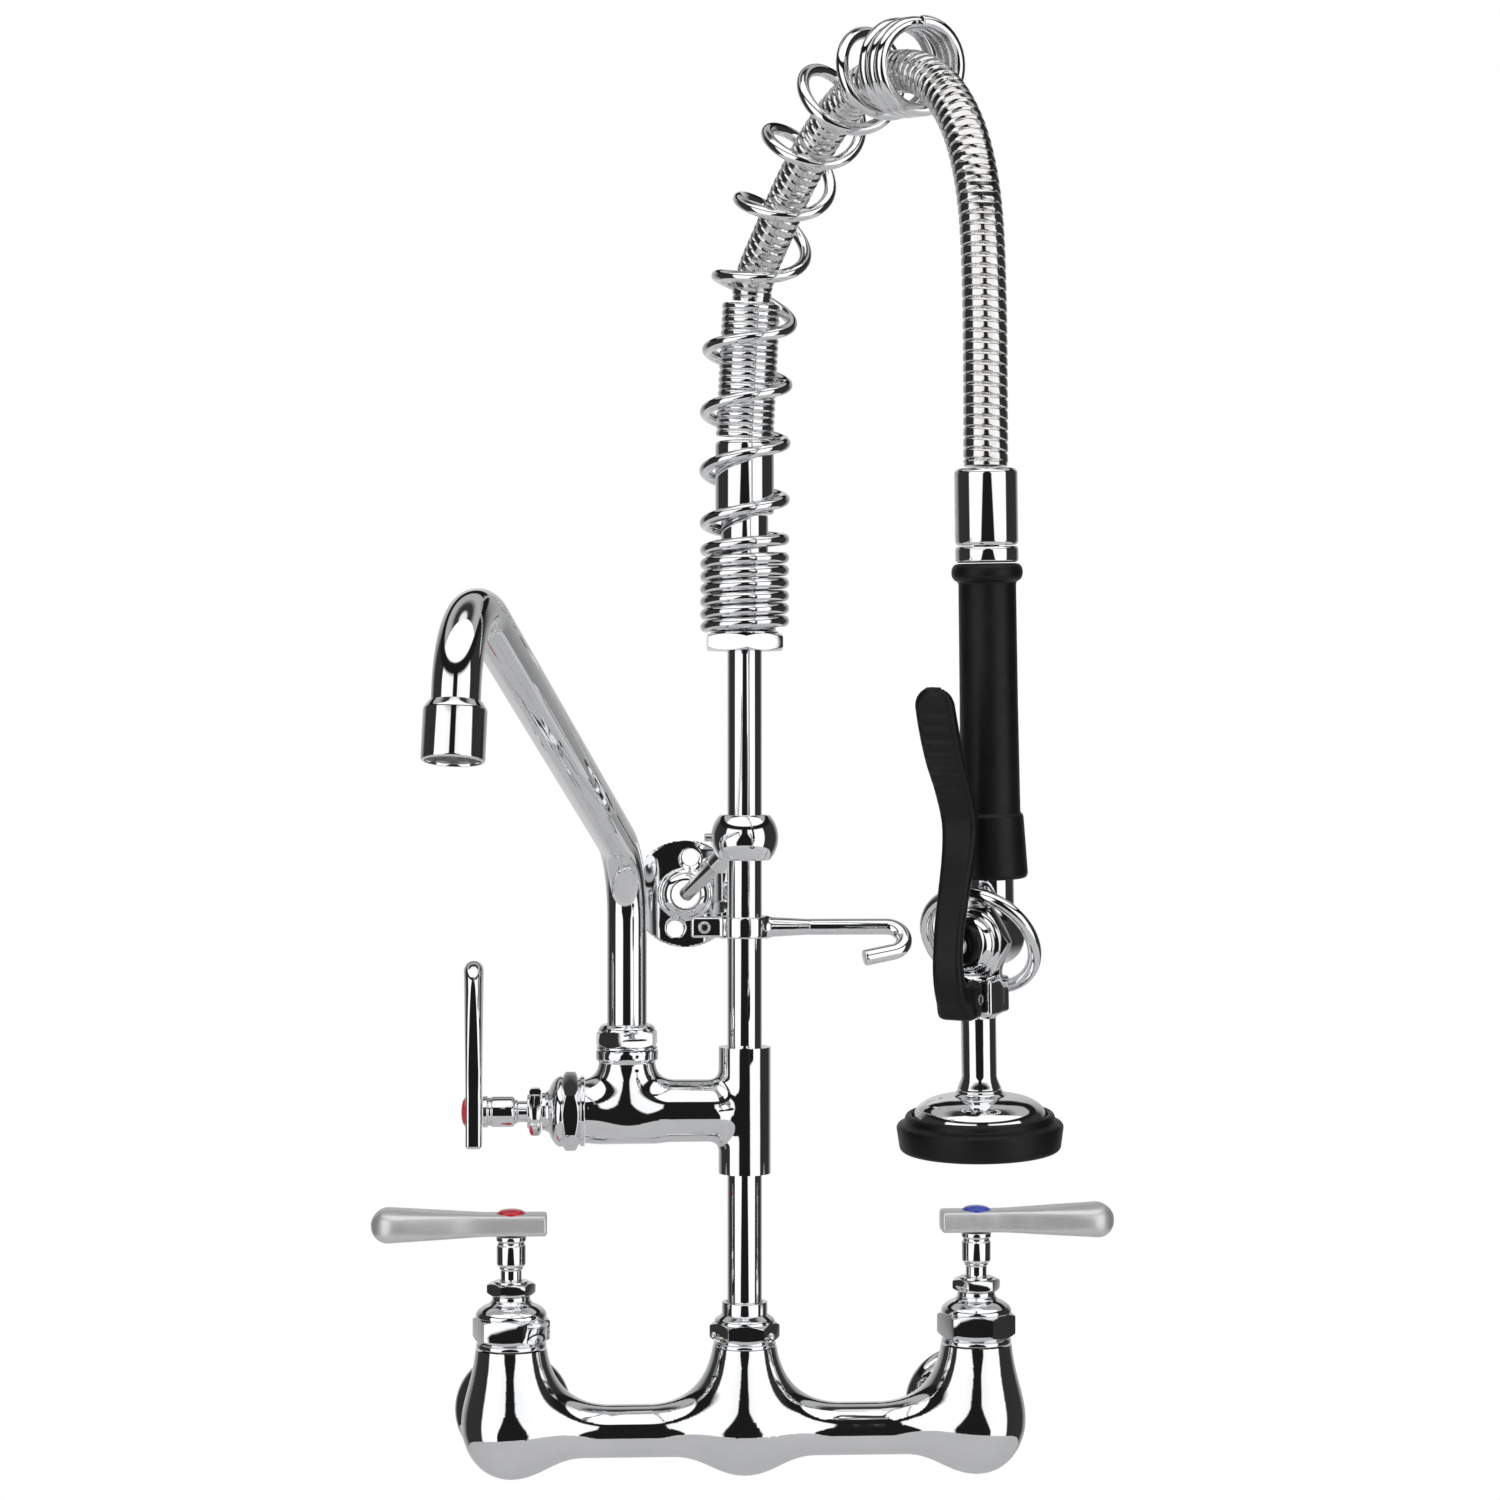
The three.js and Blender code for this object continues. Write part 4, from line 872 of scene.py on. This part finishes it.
valve_shell = merged(
    cast(valve_field, (-14, -14, -213), (32, 14, -152), 0.7),
    turned([(0, -37), (8.65, -37), (8.65, -160), (0, -160)], 0.3),
    placed(turned([(0, -206), (6.9, -206), (6.75, -209.5, 0.6), (6.75, -233.5, 1), (8.0, -236.6, 0.8),
                   (8.4, -237.6, 0.3), (0, -237.6)], 0.5), move(NECK_U)),
)
make("valve_body_piece", placed(valve_shell, SPRAY), cast_chrome, "valve_body", "spray", smooth=45)
make("valve_cap_piece", placed(merged(
    hexagon(15.4, 13, 19.4, 1.4, 3.6, rad(30), 12),
    ring([(3.6, 19), (13, 19), (13, 20.2, 0.4), (12, 20.9, 0.6), (10.9, 21.2, 0.4), (10.8, 22.6, 1), (9.4, 24.6, 1.4),
          (7.9, 25), (3.6, 25)], 0.4, 96),
), CAP), chrome, "valve_cap", "spray")
make("plunger_piece", placed(turned([
    (0, -4), (2.95, -4), (2.95, 31), (4.6, 31), (4.6, 33.4, 0.6), (3.4, 34.5, 0.6), (0, 34.6)], 0.4, 48), CAP),
    steel, "plunger", "valve_stem")
make("valve_seal_piece", placed(ring([
    (3.7, 25.1), (7.7, 25.1), (7.9, 25.9, 0.4), (7.2, 27.1, 0.6), (5.8, 27.7, 0.5), (3.7, 27.7)], 0.4), CAP),
    black_plastic, (), "spray")
make("spray_dome_piece", placed(turned([
    (0, -237.9), (8.6, -237.9), (8.9, -239.2, 0.6), (10.2, -240.3, 1.2), (15, -240.9, 3), (20.5, -242.4, 4),
    (24.4, -245.2, 3), (25.75, -248.6, 1.5), (25.75, -252.4, 0.3), (23.4, -252.4, 0.2), (23.4, -250), (19, -247.2),
    (0, -244.6)], 0.5, 128), HEAD), chrome, "spray_dome", "spray")
make("spray_bumper_piece", placed(ring([
    (26.1, -247.6), (27.7, -247.2, 0.5), (28.7, -248.3, 0.7), (28.9, -250.2, 0.5), (31.4, -251.2, 0.9),
    (32.05, -252.3, 0.7), (30.9, -260.6, 0.9), (29.8, -261.6, 0.8), (22, -261.6, 0.7), (21, -260.6, 0.6),
    (21, -255.8, 0.3), (26.1, -255.8)], 0.4, 128), HEAD), rubber, "spray_bumper", "spray")


def spray_face():
    """A disc with rings of small nozzles."""
    parts = [turned([(0, -255.2), (25.5, -255.2), (25.5, -252.8), (22.8, -252.8), (22.8, -250.6), (0, -250.6)],
                    0.3, 96)]
    for count, r in ((1, 0), (6, 4.4), (12, 8.8), (18, 13.2), (24, 17.6)):
        for k in range(count):
            a = 2 * math.pi * k / count
            parts.append(placed(ring([
                (0.45, -255.0), (1.25, -255.0), (0.95, -256.3), (0.45, -256.3)], 0.15, 12),
                move(r * math.cos(a), r * math.sin(a))))
    return merged(*parts)


make("spray_face_piece", placed(spray_face(), HEAD), black_plastic, "spray_face", "spray")


LEVER_LINE = [
    (48.6, -82.2), (44, -97), (38.7, -110), (31.6, -122), (27, -133.5), (27.6, -144), (33, -161),
    (37.2, -175), (38.6, -188), (36, -199), (30.5, -206.5),
]
LEVER_STEP = 0.8
FINGER_RIB_PITCH = 5.2
lever_line = spline([(u, 0, w) for u, w in LEVER_LINE], LEVER_STEP)[:, [0, 2]]
lever_along = np.gradient(lever_line, axis=0)
lever_along /= np.linalg.norm(lever_along, axis=1, keepdims=True)
lever_at = np.linspace(0, 1, len(lever_line))
lever_length = LEVER_STEP * (len(lever_line) - 1)


def lever_field(p):
    """A bent paddle with round edges, finger ribs near its free end and a forked foot round the pivot."""
    flat = p[:, [0, 2]]
    best = ((flat[:, None] - lever_line[None]) ** 2).sum(2).argmin(1)
    offset = flat - lever_line[best]
    along = (offset * lever_along[best]).sum(1)
    off = offset[:, 0] * lever_along[best][:, 1] - offset[:, 1] * lever_along[best][:, 0]
    s = lever_at[best]
    from_tip = s * lever_length + np.where(best == 0, along, 0)
    half = np.interp(s, [0, 0.16, 0.4, 0.6, 0.8, 1], [7.9, 7.9, 7.4, 6.3, 5.8, 6.6])
    lateral = np.where(from_tip < half, np.hypot(half - from_tip, p[:, 1]), np.abs(p[:, 1])) - half
    thick = np.interp(s, [0, 0.1, 0.4, 0.8, 0.95, 1], [2.3, 2.7, 2.6, 2.7, 3.0, 2.6])
    rib = np.clip((0.36 - s) / 0.06, 0, 1) * np.clip((s - 0.05) / 0.05, 0, 1)
    rib = rib * np.where(off < 0, 0.42, 0) * (np.sin(2 * math.pi * s * lever_length / FINGER_RIB_PITCH) - 0.4)
    rib = rib * np.clip(1 - (p[:, 1] / 7.4) ** 4, 0, 1)
    edge = np.minimum(2.3, thick - 0.2)
    lateral = np.where(best == len(lever_line) - 1, np.maximum(lateral, along), lateral)
    a, b = np.abs(off) - (thick + rib - edge), lateral + edge
    paddle = np.hypot(np.maximum(a, 0), np.maximum(b, 0)) + np.minimum(np.maximum(a, b), 0) - edge
    foot = block(p, (28.4, 0, -201.6), (11.6, 14.8, 14.6), 3.0)
    whole = smooth_min(paddle, foot, 3.5)
    slot = block(p, (21.4, 0, PIVOT_W), (18, 7.8, 30), 1.0)
    behind = 22.9 - p[:, 0]
    return np.maximum(np.maximum(whole, -slot), np.where(p[:, 2] < -188, behind, -9.0))


make("squeeze_lever_piece", placed(cast(lever_field, (18, -10, -213), (54, 10, -81), 0.8), SPRAY), rubber,
     "squeeze_lever", "trigger", smooth=50)
make("lever_pin_piece", placed(turned([
    (0, -7.6), (1.9, -7.6), (2.1, -7.2), (2.1, 7.2), (1.9, 7.6), (0, 7.6)], 0.2, 32),
    SPRAY @ move(26, 0, PIVOT_W) @ turn(90, "X")), steel, "lever_pin", "spray")

RING_BAR = 2.6  # radius of the ring's bar, which is bent round 22.2
make("hold_ring_piece", placed(lathe(np.array([
    (22.2 + RING_BAR * math.cos(a), RING_BAR * math.sin(a)) for a in np.linspace(0, 2 * math.pi, 28, endpoint=False)
]), 120, loop=True), SPRAY @ move(10.5, 0, -181) @ turn(-60, "Y")), chrome, "hold_ring", "ring", smooth=80)

# the cartridges are inside the body and keep their CAD shape
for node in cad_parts.values():
    if not node.hide_render:
        node.data.materials.clear()
        node.data.materials.append(brass)


# ---------------------------------------------------------------- floor, studio surroundings and light
FLOOR_Z = -0.42
floor_mesh = bpy.data.meshes.new("floor")
floor_mesh.from_pydata([(math.cos(a), math.sin(a) - 0.1, FLOOR_Z)
                        for a in np.linspace(0, 2 * math.pi, 96, endpoint=False)], [], [tuple(range(96))])
floor = bpy.data.objects.new("floor", floor_mesh)
scene.collection.objects.link(floor)
floor_material, floor_tree, floor_shader = new_material("pale_floor")
floor_tree.links.new(tinted(floor_tree, noise(floor_tree, 3, 3.0), (0.7, 0.7, 0.705), (0.74, 0.74, 0.745)),
                     floor_shader.inputs["Base Color"])
floor_shader.inputs["Roughness"].default_value = 0.6
floor_mesh.materials.append(floor_material)

world = bpy.data.worlds.new("studio")
scene.world = world
world.use_nodes = True
wt = world.node_tree
wt.nodes.clear()


def wnode(kind, **inputs):
    node = wt.nodes.new(kind)
    for key, value in inputs.items():
        if isinstance(value, bpy.types.NodeSocket):
            wt.links.new(value, node.inputs[key.replace("_", " ")])
        else:
            node.inputs[key.replace("_", " ")].default_value = value
    return node


def wmath(operation, a, b=0.0):
    node = wt.nodes.new("ShaderNodeMath")
    node.operation = operation
    for slot_index, value in enumerate((a, b)):
        if isinstance(value, bpy.types.NodeSocket):
            wt.links.new(value, node.inputs[slot_index])
        else:
            node.inputs[slot_index].default_value = value
    return node.outputs[0]


def wramp(source, stops):
    ramp = wt.nodes.new("ShaderNodeValToRGB")
    while len(ramp.color_ramp.elements) > 1:
        ramp.color_ramp.elements.remove(ramp.color_ramp.elements[-1])
    for k, (at, value) in enumerate(stops):
        element = ramp.color_ramp.elements[0] if k == 0 else ramp.color_ramp.elements.new(at)
        element.position = at
        element.color = (value, value, value, 1)
    wt.links.new(source, ramp.inputs["Fac"])
    return ramp.outputs["Color"]


direction = wnode("ShaderNodeTexCoord").outputs["Generated"]
split = wnode("ShaderNodeSeparateXYZ", Vector=direction)
dx, dy, dz = split.outputs
# azimuth from the front of the object, 0 in front and 1 at the back, and elevation in degrees
azimuth = wmath("ARCTAN2", wmath("ADD", dx, 0.05), wmath("MULTIPLY", dy, -1.0))
around = wmath("DIVIDE", wmath("ABSOLUTE", azimuth), math.pi)
elevation = wmath("MULTIPLY", wmath("ARCSINE", dz), 180 / math.pi)
height = wmath("ADD", wmath("DIVIDE", elevation, 180), 0.5)
# the dark gap in front is wider below than above
gap = wmath("SUBTRACT", 0.1, wmath("MULTIPLY", elevation, 0.0036))
gap = wmath("MAXIMUM", wmath("MINIMUM", gap, 0.16), 0.05)
sides = wramp(around, [(0.0, 1.0), (0.375, 1.25), (0.4, 0.03), (0.7, 0.035), (0.78, 0.3), (1.0, 0.7)])
front = wmath("MULTIPLY", wmath("SUBTRACT", around, gap), 60)
front = wmath("MAXIMUM", wmath("MINIMUM", front, 1.0), 0.006)
level = wnode("ShaderNodeMixRGB", Fac=front, Color1=(0.006, 0.006, 0.006, 1), Color2=sides).outputs[0]
# the softboxes end at 27 degrees
high = wramp(height, [(0.0, 0.0), (0.64, 0.0), (0.66, 1.0), (1.0, 1.0)])
level = wnode("ShaderNodeMixRGB", Fac=high, Color1=level, Color2=(0.012, 0.012, 0.012, 1)).outputs[0]
# overhead: black up to 40 degrees, a big softbox, a dark strip behind it and a pale ceiling
upper = wramp(height, [(0.0, 0.0), (0.715, 0.0), (0.725, 1.0), (1.0, 1.0)])
above = wramp(height, [(0.0, 1.15), (0.96, 1.15), (1.0, 1.0)])
behind = wramp(height, [(0.0, 0.5), (0.8, 0.45), (0.86, 0.04), (0.92, 0.04), (0.95, 0.9), (1.0, 1.0)])
back = wmath("GREATER_THAN", dy, 0.0)
overhead = wnode("ShaderNodeMixRGB", Fac=back, Color1=above, Color2=behind).outputs[0]
lower = wramp(height, [(0.0, 1.0), (0.352, 1.0), (0.358, 0.0), (1.0, 0.0)])
mixed = wnode("ShaderNodeMixRGB", Fac=upper, Color1=level, Color2=overhead).outputs[0]
studio = wnode("ShaderNodeMixRGB", Fac=lower, Color1=mixed, Color2=(0.57, 0.57, 0.575, 1)).outputs[0]
room = wnode("ShaderNodeBackground", Color=studio, Strength=1.0).outputs[0]
white = wnode("ShaderNodeBackground", Color=(1, 1, 1, 1), Strength=1.0).outputs[0]
path = wt.nodes.new("ShaderNodeLightPath")
mix = wt.nodes.new("ShaderNodeMixShader")
wt.links.new(path.outputs["Is Camera Ray"], mix.inputs[0])
wt.links.new(room, mix.inputs[1])
wt.links.new(white, mix.inputs[2])
output = wt.nodes.new("ShaderNodeOutputWorld")
wt.links.new(mix.outputs[0], output.inputs["Surface"])


LIGHT_TARGET = Vector((0, -0.1, 0.25))


def softbox(name, location, size, power):
    data = bpy.data.lights.new(name, "AREA")
    data.shape = "RECTANGLE"
    data.size, data.size_y = size
    data.energy = power
    light = bpy.data.objects.new(name, data)
    scene.collection.objects.link(light)
    light.location = location
    light.rotation_euler = (LIGHT_TARGET - light.location).to_track_quat("-Z", "Y").to_euler()
    light.visible_camera = False
    light.visible_glossy = False


softbox("key", (-1.4, -1.8, 1.9), (1.0, 1.4), 9)
softbox("fill", (1.8, -1.2, 1.0), (1.0, 1.4), 6)
softbox("back", (0.4, 1.8, 1.4), (1.2, 1.0), 4)
